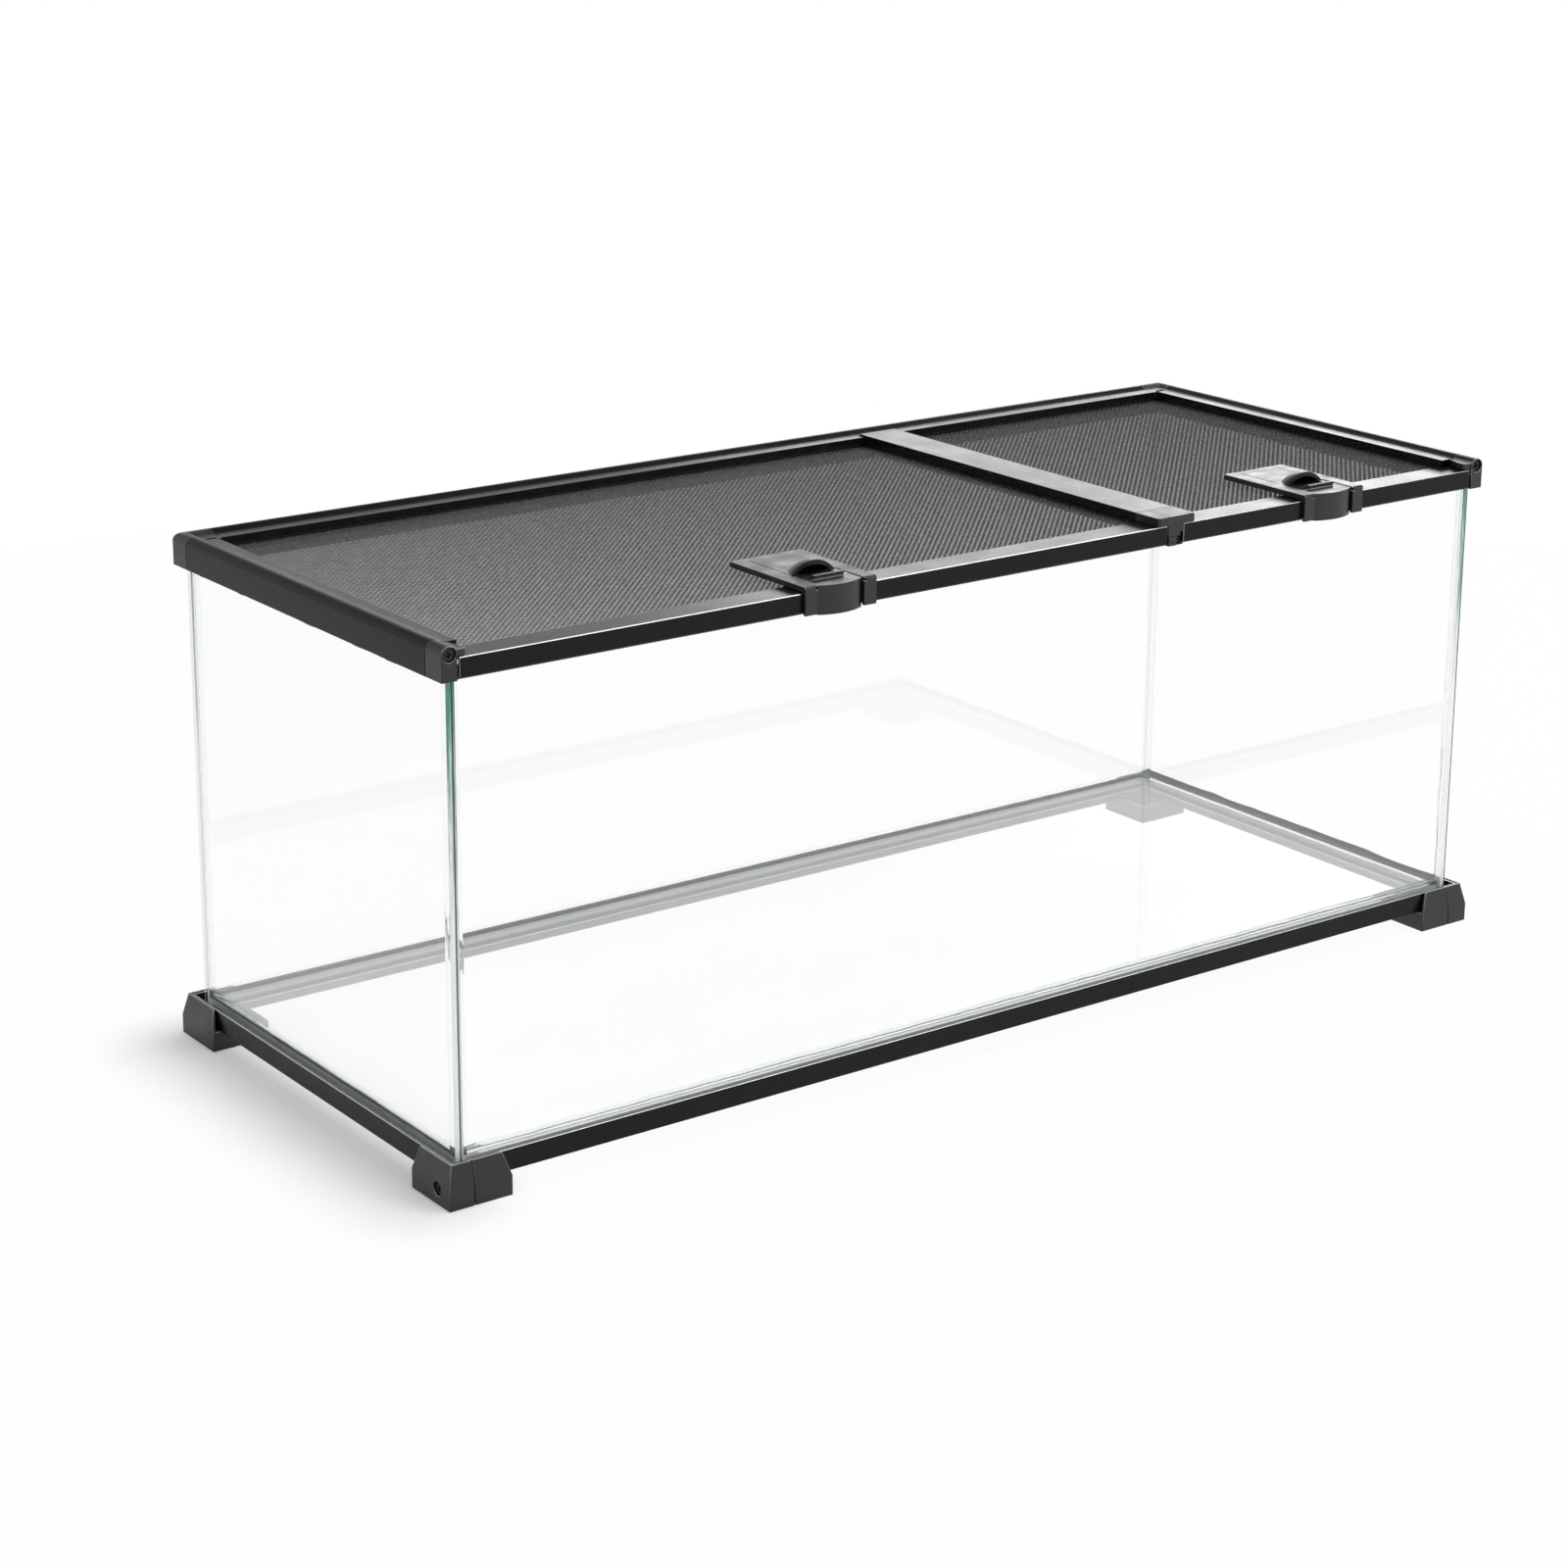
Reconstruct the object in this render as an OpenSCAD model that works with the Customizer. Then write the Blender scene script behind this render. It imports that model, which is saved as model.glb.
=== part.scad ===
// Glass reptile terrarium: five silicone-bonded panes in a black frame, with two
// screen lids that slide out to the front and a finger latch on each of them.
// Millimetres, +Z up, front towards -Y, origin on the ground under the middle.

/* [Overall] */
// Length over the feet
tank_l = 762; // [560:1:1000]
// Depth over the feet
tank_d = 304.8; // [250:0.1:500]
// Height from the ground to the top of the frame
tank_h = 304.8; // [200:0.1:500]
// How far the feet stand out beyond the frame
foot_reach = 4.5; // [4:0.1:7]

/* [Glass] */
// Thickness of the four wall panes
pane_t = 4; // [3:0.1:4.5]
// Thickness of the bottom pane
floor_t = 5; // [4:0.1:6]
// Outer face of the wall panes behind the frame's outer face
pane_inset = 5.5; // [5:0.1:6]
// Width of a bonded joint between two panes
seam_gap = 0.6; // [0.3:0.1:1]
// Radius of the silicone fillet in each inner corner
seam_r = 5; // [3:0.1:7]

/* [Base rails] */
// Height of a base rail's bottom above the ground
rail_lift = 12; // [10:0.1:14]
// Height of a base rail
base_rail_h = 12.5; // [11:0.1:16]
// Width of a base rail
base_rail_w = 17; // [14:0.1:22]
// Wall of the base rail extrusion
rail_wall = 1.4; // [1:0.1:2]
// Height of the groove floor that the wall panes stand on, above the rail's bottom
groove_floor = 3; // [2.5:0.1:3.5]
// Top of the bottom pane below the top of the base rails
floor_drop = 0.5; // [0:0.1:1]

/* [Feet] */
// Length of each wing of a corner foot
foot_l = 39; // [34:0.5:50]
// Height of a foot
foot_h = 25; // [24.6:0.1:28]
// Height of the upright lower part of a foot
foot_knee = 11.5; // [8:0.1:13]
// How far a foot's outer face leans in towards its top
foot_lean = 3; // [1:0.1:3.4]
// How far a wing's end leans in towards its top
foot_end_lean = 4.5; // [2:0.1:6]
// Rounding of a wing's top corner
foot_round = 2.5; // [1:0.1:4]
// Thickness of a foot's outer skin
foot_skin = 2; // [1.5:0.1:2.5]
// Width of the side cap that is screwed to the foot block
foot_cap_w = 15.5; // [13:0.1:19]
// Width of the parting line between side cap and foot block
foot_part = 0.4; // [0.2:0.1:0.8]
// Side screw from the front corner
foot_screw_y = 12.5; // [10:0.1:16]
// Side screw above the ground
foot_screw_z = 9; // [6.5:0.1:9]
// Side of a core pocket under a foot block
foot_core = 7; // [4:0.1:8]
// Depth of a core pocket
foot_core_h = 3.5; // [2:0.1:5]
// Web between two core pockets
foot_core_web = 2.5; // [2:0.1:4]

/* [Top frame] */
// Height of the top rails
top_rail_h = 19; // [18.6:0.1:21]
// Wall of the top rail extrusion
top_wall = 1.4; // [1:0.1:1.6]
// Radius of the bead along the top outer edge
bead_r = 4.8; // [4.5:0.1:5.2]
// Radius of the screw port in the bead
port_r = 1.7; // [1.5:0.05:2]
// Top of the wall panes above the rail's bottom
glass_rise = 6.6; // [5:0.1:7]
// Thickness of the ledge that the lids run on
ledge_t = 1.6; // [1.2:0.1:2]
// Face that guides a lid's edge, behind the rail's outer face
guide_u = 10.2; // [9.9:0.1:11]
// Inner edge of ledge and lip, behind the rail's outer face
lip_u = 19; // [18:0.1:24]
// Top of the lip below the top of the bead
lip_drop = 2.4; // [1.8:0.1:2.6]
// Height of the lip's face over the lid
lip_face = 4; // [3.4:0.1:4.2]
// Thickness of the lip
lip_t = 2.2; // [1.6:0.1:2.4]
// Start of the lip's flat, behind the rail's outer face
lip_flat_u = 13; // [12:0.1:15]
// Length of the gap in a side rail's lip at the rear corners
lip_notch = 3; // [1:0.1:5]

/* [Corner connectors] */
// Length of all connectors along the side rails
corner_y = 16; // [14:0.1:18]
// Length of the rear connectors along the rear rail
corner_x = 22; // [20:0.1:28]
// Width of a front connector's face
corner_face_w = 9.5; // [9.2:0.1:9.8]
// Inner edge of a front connector's finger plate
finger_u = 15.4; // [13:0.1:18]
// How much the finger plate narrows towards the rear
finger_taper = 3; // [0:0.1:3.4]
// Length of the finger plate before it narrows
finger_straight = 5.3; // [3:0.1:8]
// Chamfer of the finger plate's front corner
finger_chamfer = 1; // [0.4:0.1:1.6]
// Finger plate's front edge behind the connector's face
finger_back = 1; // [0.4:0.1:1.6]

/* [Front sill] */
// Top of the front pane below the top of the side panes
sill_drop = 3.4; // [3:0.1:5]
// Thickness of the sill extrusion
sill_t = 1.4; // [1:0.1:1.6]
// Room between the front pane and the sill's front wall
sill_room = 1.5; // [1:0.1:2]
// Play between the sill's rear wall and the front pane
sill_play = 0.5; // [0.2:0.1:1]

/* [Crossbar] */
// Middle of the crossbar, from the middle of the tank
crossbar_x = 120; // [-60:1:130]
// Width of the stem between the lids
stem_w = 11.5; // [10:0.1:16]
// Width over the wings
wing_w = 28.5; // [26:0.1:34]
// Height of the wings' side faces
wing_h = 5; // [4.6:0.1:5.4]
// Wall of the crossbar extrusion
bar_wall = 1.4; // [1:0.1:1.8]
// Length of the front cap
cap_l = 20; // [14:0.1:28]
// Rounding of the front cap's corners
cap_round = 2; // [1:0.1:3]
// Height and depth of a step in the front cap's edge
cap_step = 0.6; // [0.4:0.05:0.8]
// Ribs on the front cap's snap clip
clip_ribs = 2; // [1:1:2]
// Distance between the grooves under the clip's ribs
rib_pitch = 1.2; // [1:0.05:1.4]
// Width and height of the step at the top of the cap's release window
window_step = 2.2; // [1:0.1:2.5]
// Width and depth of these grooves
rib_depth = 0.3; // [0.2:0.05:0.4]

/* [Lids] */
// Height of the front band
band_h = 11.2; // [9:0.1:12]
// Sheet thickness of the front profile
band_t = 1.6; // [1.2:0.1:1.6]
// Front band behind the front of the frame
band_setback = 0.5; // [0.2:0.1:0.8]
// Depth of the front border on top
border_w = 18; // [17.5:0.1:24]
// Width of the thick rear edge of the border
border_edge = 3; // [2.5:0.1:3.2]
// Width of the side and rear bars
bar_w = 8.3; // [7:0.1:12]
// Height of the slot for the screen in the bars
screen_slot = 1.5; // [1.4:0.1:1.6]
// How far the screen reaches into the bars
screen_hold = 2; // [1:0.1:2.2]

/* [Screen] */
// Spacing of the wires
wire_pitch = 4; // [3:0.5:12]
// Side of a wire
wire_w = 0.55; // [0.4:0.05:0.6]
// Gap between the two layers of wire
wire_gap = 0.05; // [0.05:0.01:0.1]

/* [Latches] */
// Width of the latch housing
latch_w = 48.5; // [46:0.1:60]
// Rear end of the housing behind the tongue's front
latch_l = 72; // [66:0.1:90]
// Thickness of the housing's plate
latch_t = 3.5; // [3.3:0.1:3.6]
// Height of the housing's legs below the lid's top
leg_drop = 12.4; // [10:0.1:12.6]
// How far the legs stand out in front of the band
leg_proud = 2.5; // [2:0.1:3]
// Rounding of the legs' top front edge
leg_round = 1.5; // [0.5:0.1:2]
// Width of the sliding tongue
tongue_w = 30; // [29.6:0.1:32]
// Gap beside the tongue
tongue_gap = 0.7; // [0.5:0.1:1]
// Front of the tongue behind the front of the feet
tongue_back = 0.4; // [0.2:0.1:1]
// How far the tongue's face bulges in the middle
tongue_bulge = 4; // [2:0.1:4.2]
// Thickness of the tongue's face
tongue_wall = 2.2; // [1.6:0.1:2.4]
// How far the tongue reaches down below the legs
tongue_low = 1; // [0:0.1:1.2]
// Reach of the guide ribs on the tongue's sides
tongue_key = 1.2; // [0.8:0.1:1.4]
// Thickness of the guide ribs
key_h = 0.7; // [0.5:0.05:0.8]
// Rear face of the grip rib behind the tongue's front
grip_y = 15.2; // [14:0.1:17]
// Length of the grip rib
grip_l = 20.5; // [16:0.1:26]
// Height of the grip rib
grip_h = 2.6; // [1.5:0.1:3]
// Thickness of the grip rib
grip_t = 1.8; // [1.4:0.1:2.4]
// Number of notches in the grip rib
grip_notches = 8; // [4:1:12]
// Depth of the finger recess in the tongue
recess_depth = 1.8; // [1:0.1:2]
// Front edge of the cover and its hood behind the tongue's front
cover_front = 27.5; // [26:0.1:32]
// Thickness of the cover
cover_t = 2.3; // [1.8:0.1:2.4]
// Width of the housing's border round the cover
cover_border = 6; // [4:0.1:8]
// Groove round the cover
cover_groove = 0.4; // [0.3:0.1:0.6]
// Width of the cover
cover_w = 29; // [28:0.1:31]
// Rounding of the cover's front corners
cover_round = 2; // [1:0.1:3]
// Radius of the hood where it meets the cover
hood_r = 13.9; // [12:0.1:14]
// Height of the hood
hood_h = 6.6; // [5:0.1:8]
// Radius of the hood's mouth
mouth_r = 11.4; // [9:0.1:11.6]
// Height of the hood's mouth
mouth_h = 3.8; // [2.5:0.1:4.4]
// Depth of the scoop in the cover under the hood
scoop_h = 1.5; // [0.5:0.1:1.6]
// Travel of the tongue
tongue_travel = 5; // [3:0.1:5]

/* [Catch] */
// Thickness of the leaf spring
leaf_t = 0.5; // [0.3:0.05:0.5]
// Width of the leaf's free end
leaf_w = 20; // [16:0.1:20]
// Drop of the leaf's free end
leaf_drop = 2.5; // [2:0.1:2.6]
// Length of the catch tooth
tooth_h = 0.9; // [0.6:0.1:1.1]
// Depth of the leaf's clamped strip
strip_l = 4; // [3.6:0.1:4.2]
// End of the clamped strip inside the housing's side
strip_margin = 1; // [0.5:0.1:1.5]
// Width of a prong of the tongue
prong_w = 2; // [1.6:0.1:2.4]
// Thickness of a prong
prong_t = 1.5; // [1:0.1:1.8]
// Middle of a prong beside the leaf
prong_off = 2; // [1.8:0.1:2.2]
// Reach of a prong's foot under the leaf, from the prong's middle
prong_foot = 6; // [4:0.1:7]
// Thickness of a prong's foot
prong_foot_h = 0.5; // [0.4:0.05:0.6]

/* [Fasteners] */
// Radius of a frame or foot screw's shank
screw_r = 1.6; // [1.4:0.05:1.65]
// Radius of a frame or foot screw's head
head_r = 3.6; // [3:0.05:3.7]
// Height of a frame or foot screw's head
head_h = 2.2; // [1.6:0.1:2.6]
// Length of a frame or foot screw's shank
screw_l = 22; // [18:0.5:25]
// Radius of the counterbores
counterbore_r = 3.9; // [3.8:0.05:4.1]
// Depth of the counterbores
counterbore_h = 3.4; // [2.8:0.1:4]
// Radius of the latch screws
latch_screw_r = 1.2; // [1:0.05:1.3]
// Radius of the latch screws' heads
latch_head_r = 2.1; // [1.9:0.05:2.2]
// Height of the latch screws' heads
latch_head_h = 1.4; // [1:0.1:1.4]
// Length of the latch screws in the housing
latch_screw_up = 2.4; // [2:0.1:2.6]
// Width of the cross recess in the frame and foot screws
cross_w = 0.9; // [0.7:0.1:1.2]

/* [Clearances] */
// Gap between fixed pieces that are fitted together
fit = 0.2; // [0.1:0.05:0.3]
// Gap below and above a sliding lid
run_gap = 0.35; // [0.3:0.05:0.4]
// Gap beside a sliding lid
side_gap = 0.5; // [0.4:0.05:0.8]
// Radial clearance round a screw
screw_gap = 0.1; // [0.05:0.05:0.2]

/* [Hidden] */

black = "#2b2b2d";
plastic = "#232325";
glass_tint = [0.78, 0.9, 0.87, 0.35];
clear = [0.93, 0.95, 0.95, 0.6];
screen_grey = "#3a3a3c";
steel = "#9a9ca0";
acetal = "#d9d8d2";

over = 1; // how far a cut runs past the solid
fn_small = 16;
fn_round = 64;
fn_large = 160;

// Frame
frame_x = tank_l / 2 - foot_reach;
frame_y = tank_d / 2 - foot_reach;
frame_z = tank_h - top_rail_h;

// Glass
pane_x = frame_x - pane_inset;
pane_y = frame_y - pane_inset;
pane_z = rail_lift + groove_floor;
pane_top = frame_z + glass_rise;
front_pane_top = pane_top - sill_drop;
floor_top = rail_lift + base_rail_h - floor_drop;
floor_z = floor_top - floor_t;
cross_pane_x = pane_x - pane_t - seam_gap;
floor_y = pane_y - pane_t - seam_gap;

// Heights of the sliding lids
ledge_z = pane_top + ledge_t;
lip_edge_z = tank_h - lip_drop - lip_face;
lid_z = ledge_z + run_gap;
lid_top = lip_edge_z - run_gap;

// Top rail section, from its outer bottom corner
bead_v = top_rail_h - bead_r;
lip_v = top_rail_h - lip_drop;
lip_rise = lip_v - bead_v;
lip_run = lip_flat_u - bead_r;
slope_r = (lip_run^2 + lip_rise^2 - bead_r^2) / (2 * (bead_r - lip_rise));

// Lids
lid_front = -frame_y + band_setback;
lid_rear = frame_y - guide_u - side_gap;
lid_edge = frame_x - guide_u - side_gap;
left_lid = [-lid_edge, crossbar_x - stem_w / 2 - side_gap];
right_lid = [crossbar_x + stem_w / 2 + side_gap, lid_edge];
border_back = lid_front + border_w;
bars_y = [border_back, lid_rear - bar_w];
slot_z = (lid_z + lid_top - screen_slot) / 2;

// Latch, from the middle of its lid
tongue_front = -tank_d / 2 + tongue_back;
leg_front = lid_front - leg_proud;
plate_z = lid_top + run_gap;
latch_top = plate_z + latch_t;
latch_rear = tongue_front + latch_l;
cover_y = tongue_front + cover_front;
cover_rear = latch_rear - cover_border;
mouth_w = tongue_w + 2 * tongue_gap;
tongue_z = plate_z + run_gap;
tongue_top = latch_top - run_gap;
tongue_bottom = lid_top - leg_drop - tongue_low;
tongue_r = ((tongue_w / 2)^2 + tongue_bulge^2) / (2 * tongue_bulge);
tongue_rear = cover_y - tongue_gap;
key_z = (tongue_z + tongue_top) / 2;
grip_back = tongue_front + grip_y;

// Catch
border_under = lid_top - band_t;
sill_front = -pane_y - sill_room - sill_t;
sill_web = front_pane_top + sill_t;
sill_lip = ledge_z - run_gap;
tooth_front = sill_front + sill_t + run_gap;
strip_back = border_back - border_edge - run_gap;
strip_front = strip_back - strip_l;
latch_screw_x = (mouth_w + latch_w) / 4;
latch_screw_y = border_back - border_edge - fit - latch_head_r;
prong_y = strip_front - run_gap;
prong_x = leaf_w / 2 + prong_off;
prong_z = lid_z;

// ---- Sections and placing ----

// A section drawn in X and Y, run along X: its X becomes Y, its Y becomes Z
module along_x(length, center = true)
    rotate([90, 0, 90]) linear_extrude(height = length, center = center) children();

// A section drawn in X and Y, run along Y from 0: its Y becomes Z
module along_y(length)
    translate([0, length, 0]) rotate([90, 0, 0]) linear_extrude(height = length) children();

// What is drawn for the front side, turned to another side of the frame
module front_side() translate([0, -frame_y, 0]) children();
module rear_side() rotate(180) translate([0, -frame_y, 0]) children();
module left_side() rotate(-90) translate([0, -frame_x, 0]) children();
module right_side() rotate(90) translate([0, -frame_x, 0]) children();

// What is drawn for the front left corner, mirrored to the others
module at_corner(right, rear, reach = 0)
    mirror([right ? 1 : 0, 0, 0]) mirror([0, rear ? 1 : 0, 0])
        translate([-tank_l / 2 + reach, -tank_d / 2 + reach, 0]) children();

// A box from its lowest corner to its highest
module span(low, high) translate(low) cube(high - low);

// ---- Glass and silicone ----

module side_pane() color(glass_tint)
    span([-pane_x, -pane_y, pane_z], [-pane_x + pane_t, pane_y, pane_top]);

module cross_pane(top) color(glass_tint)
    span([-cross_pane_x, -pane_y, pane_z], [cross_pane_x, -pane_y + pane_t, top]);

module bottom_glass() color(glass_tint)
    span([-cross_pane_x, -floor_y, floor_z], [cross_pane_x, floor_y, floor_top]);

module front_glass() cross_pane(front_pane_top);
module rear_glass() rotate(180) cross_pane(pane_top);
module left_glass() side_pane();
module right_glass() mirror([1, 0, 0]) side_pane();

// Hollow fillet between two walls that meet at the origin
module fillet_section() difference() {
    square(seam_r);
    translate([seam_r, seam_r]) circle(seam_r, $fn = fn_round);
}

// Upright seam: a fillet up to the top frame, and the bond in the joint up to the pane's top
module upright_seam(top) {
    translate([-pane_x + pane_t, -pane_y + pane_t, floor_top])
        linear_extrude(frame_z - fit - floor_top) fillet_section();
    span([-pane_x + pane_t, -pane_y, pane_z], [-cross_pane_x, -pane_y + pane_t, top]);
}

module floor_seam(length, wall) {
    translate([0, -wall, floor_top]) along_x(length) fillet_section();
    span([-length / 2, -wall, floor_z], [length / 2, -wall + seam_gap, floor_top]);
}

module silicone_seams() color(clear) {
    cross_l = 2 * (pane_x - pane_t);
    side_l = 2 * (floor_y + seam_gap);
    for (right = [false, true]) mirror([right ? 1 : 0, 0, 0]) {
        upright_seam(front_pane_top);
        mirror([0, 1, 0]) upright_seam(pane_top);
        rotate(-90) floor_seam(side_l, pane_x - pane_t);
    }
    for (turn = [0, 180]) rotate(turn) floor_seam(cross_l, floor_y + seam_gap);
}

// ---- Base ----

module base_section() {
    box_u = pane_inset + pane_t + fit;
    box_v = floor_z - rail_lift;
    square([rail_wall, base_rail_h]);
    translate([0, groove_floor - rail_wall]) square([base_rail_w, rail_wall]);
    for (u = [box_u, base_rail_w - rail_wall])
        translate([u, groove_floor - rail_wall]) square([rail_wall, box_v - groove_floor + rail_wall]);
    translate([box_u, box_v - rail_wall]) square([base_rail_w - box_u, rail_wall]);
}

// Base rail with mitred ends
module base_rail(half) color(black) translate([0, 0, rail_lift]) intersection() {
    along_x(2 * half) base_section();
    linear_extrude(base_rail_h) polygon([
        [-half + fit, 0], [half - fit, 0],
        [half - fit - base_rail_w, base_rail_w], [-half + fit + base_rail_w, base_rail_w]
    ]);
}

module base_front_rail() front_side() base_rail(frame_x);
module base_rear_rail() rear_side() base_rail(frame_x);
module base_left_rail() left_side() base_rail(frame_y);
module base_right_rail() right_side() base_rail(frame_y);

// Side view of a foot's wing, with a leaning end and a rounded top corner
module wing_section() {
    rise = foot_h - foot_knee;
    slant = sqrt(rise^2 + foot_end_lean^2);
    round_x = foot_l - (foot_round * slant + foot_end_lean * (rise - foot_round)) / rise;
    start = atan2(foot_end_lean, rise);
    steps = 6;
    polygon(concat(
        [[foot_lean, foot_h], [0, foot_knee], [0, 0], [foot_l, 0], [foot_l, foot_knee]],
        [for (i = [0:steps]) let (t = start + (90 - start) * i / steps)
            [round_x + foot_round * cos(t), foot_h - foot_round + foot_round * sin(t)]]
    ));
}

// Room for the rails above a foot's block, behind its skin
module rail_room_section() polygon([
    [foot_skin, rail_lift], [foot_reach - fit, foot_h], [foot_reach - fit, foot_h + over],
    [foot_l + over, foot_h + over], [foot_l + over, rail_lift]
]);

module foot_form() difference() {
    intersection() {
        along_y(foot_l) wing_section();
        along_x(foot_l, false) wing_section();
    }
    intersection() {
        along_y(foot_l + over) rail_room_section();
        along_x(foot_l + over, false) rail_room_section();
    }
}

// Holes along X at the side screw of a foot
module foot_screw_axis() translate([0, foot_screw_y, foot_screw_z]) rotate([0, 90, 0]) children();

// The front feet take a side screw, and the rear ones are plain
module foot_cap(screwed) color(plastic) difference() {
    intersection() {
        foot_form();
        cube([foot_cap_w, foot_l, foot_h]);
    }
    if (screwed) foot_screw_axis() {
        translate([0, 0, -over]) cylinder(r = counterbore_r, h = counterbore_h + over, $fn = fn_round);
        translate([0, 0, -over])
            cylinder(r = screw_r + screw_gap, h = foot_cap_w + 2 * over, $fn = fn_round);
    }
}

module foot_block(screwed) color(plastic) difference() {
    intersection() {
        foot_form();
        translate([foot_cap_w + foot_part, 0, 0]) cube([foot_l, foot_l, foot_h]);
    }
    if (screwed) foot_screw_axis()
        cylinder(r = screw_r + screw_gap, h = counterbore_h + screw_l + over, $fn = fn_round);
    core_pitch = foot_core + foot_core_web;
    for (i = [0, 1], j = [0, 1])
        translate([foot_l - (i + 1) * core_pitch, foot_l - (j + 1) * core_pitch, -over])
            cube([foot_core, foot_core, foot_core_h + over]);
}

module foot_block_front_left() at_corner(false, false) foot_block(true);
module foot_block_front_right() at_corner(true, false) foot_block(true);
module foot_block_rear_left() at_corner(false, true) foot_block(false);
module foot_block_rear_right() at_corner(true, true) foot_block(false);
module foot_cap_front_left() at_corner(false, false) foot_cap(true);
module foot_cap_front_right() at_corner(true, false) foot_cap(true);
module foot_cap_rear_left() at_corner(false, true) foot_cap(false);
module foot_cap_rear_right() at_corner(true, true) foot_cap(false);

// Cross-recessed pan head screw along +Z, head at the origin
module screw() difference() {
    union() {
        translate([0, 0, -head_h]) cylinder(r = head_r, h = head_h, $fn = fn_round);
        cylinder(r = screw_r, h = screw_l, $fn = fn_round);
    }
    for (turn = [0, 90]) rotate(turn)
        translate([-head_r / 2, -cross_w / 2, -head_h - over]) cube([head_r, cross_w, head_h / 2 + over]);
}

module foot_screws() color(steel)
    for (right = [false, true]) at_corner(right, false)
        foot_screw_axis() translate([0, 0, counterbore_h]) screw();

// ---- Top frame ----

// Bead, lip and concave slope between them, without the screw port
module lip_section() {
    translate([bead_r, bead_v]) circle(bead_r, $fn = fn_round);
    difference() {
        polygon([
            [bead_r, lip_v - lip_t],
            [bead_r + bead_r * lip_run / (bead_r + slope_r),
                bead_v + bead_r * (lip_rise + slope_r) / (bead_r + slope_r)],
            [lip_flat_u, lip_v + lip_drop], [lip_flat_u, lip_v - lip_t]
        ]);
        translate([lip_flat_u, lip_v + slope_r]) circle(slope_r, $fn = fn_large);
    }
    translate([lip_flat_u - over, lip_v - lip_t]) square([lip_u - lip_flat_u + over, lip_t]);
    translate([lip_u - top_wall, lip_v - lip_face]) square([top_wall, lip_face]);
}

module channel_section() {
    translate([0, glass_rise]) square([lip_u, ledge_t]);
    translate([pane_inset + pane_t + fit, 0]) square([top_wall, glass_rise + ledge_t]);
    translate([guide_u - top_wall, glass_rise]) square([top_wall, lip_v - lip_t - glass_rise + over / 2]);
}

// Top rail along Y from 0: outer wall, bead and lip, channel, and the screw port through the bead
module top_rail(length) difference() {
    union() {
        along_y(length) square([top_wall, bead_v]);
        along_y(length) lip_section();
        along_y(length) channel_section();
    }
    translate([0, -over, 0]) along_y(length + 2 * over)
        translate([bead_r, bead_v]) circle(port_r, $fn = fn_round);
}

// Connectors have the rails' outline with the hollow behind the outer wall filled
module connector_section() {
    square([pane_inset - fit, bead_v]);
    translate([0, glass_rise]) square([guide_u, lip_v - lip_t - glass_rise + over / 2]);
    lip_section();
    channel_section();
}

module top_side_rail() color(black) translate([-frame_x, -frame_y, frame_z]) difference() {
    low = corner_y + fit;
    high = 2 * frame_y - corner_y - fit;
    translate([0, low, 0]) top_rail(high - low);
    translate([lip_flat_u - fit, high - lip_notch, glass_rise + ledge_t])
        cube([lip_u, lip_notch + over, top_rail_h]);
}

module top_left_rail() top_side_rail();
module top_right_rail() mirror([1, 0, 0]) top_side_rail();

module top_rear_rail() color(black) {
    half = frame_x - corner_x - fit;
    rear_side() translate([half, 0, frame_z]) rotate(90) top_rail(2 * half);
}

// Rear connector: both sections meet on the diagonal and overlap in what they have in common
module rear_connector() difference() {
    union() {
        intersection() {
            side_arm();
            linear_extrude(top_rail_h) polygon([[0, 0], [corner_y, corner_y], [0, corner_y]]);
        }
        intersection() {
            rear_arm();
            linear_extrude(top_rail_h) polygon([
                [0, 0], [corner_x, 0], [corner_x, lip_u + over],
                [lip_u + fit, lip_u + over], [lip_u + fit, corner_y], [corner_y, corner_y]
            ]);
        }
        intersection() {
            side_arm();
            rear_arm();
            linear_extrude(top_rail_h) square(corner_y);
        }
    }
    corner_screw_holes();
}

module side_arm() along_y(corner_y) connector_section();
module rear_arm() along_x(corner_x, false) connector_section();

// Front connector: upright face, bead and a finger plate over the lid's corner
module front_connector() difference() {
    union() {
        along_y(corner_y) {
            square([corner_face_w, bead_v]);
            translate([bead_r, bead_v]) circle(bead_r, $fn = fn_round);
        }
        translate([0, 0, lip_edge_z - frame_z]) linear_extrude(lip_face) polygon([
            [bead_r, finger_back], [finger_u - finger_chamfer, finger_back],
            [finger_u, finger_back + finger_chamfer], [finger_u, finger_straight],
            [finger_u - finger_taper, corner_y], [bead_r, corner_y]
        ]);
    }
    translate([pane_inset - fit, pane_inset - fit, -over])
        cube([pane_inset + pane_t, corner_y, glass_rise + over]);
    corner_screw_holes();
}

// Counterbore and hole along the bead
module corner_screw_holes() translate([bead_r, 0, bead_v]) rotate([-90, 0, 0]) {
    translate([0, 0, -over]) cylinder(r = counterbore_r, h = counterbore_h + over, $fn = fn_round);
    translate([0, 0, -over]) cylinder(r = port_r, h = corner_y + 2 * over, $fn = fn_round);
}

module at_frame_corner(right, rear)
    at_corner(right, rear, foot_reach) translate([0, 0, frame_z]) children();

module corner_front_left() color(plastic) at_frame_corner(false, false) front_connector();
module corner_front_right() color(plastic) at_frame_corner(true, false) front_connector();
module corner_rear_left() color(plastic) at_frame_corner(false, true) rear_connector();
module corner_rear_right() color(plastic) at_frame_corner(true, true) rear_connector();

module corner_screws() color(plastic)
    for (right = [false, true], rear = [false, true]) at_frame_corner(right, rear)
        translate([bead_r, counterbore_h, bead_v]) rotate([-90, 0, 0]) screw();

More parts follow.
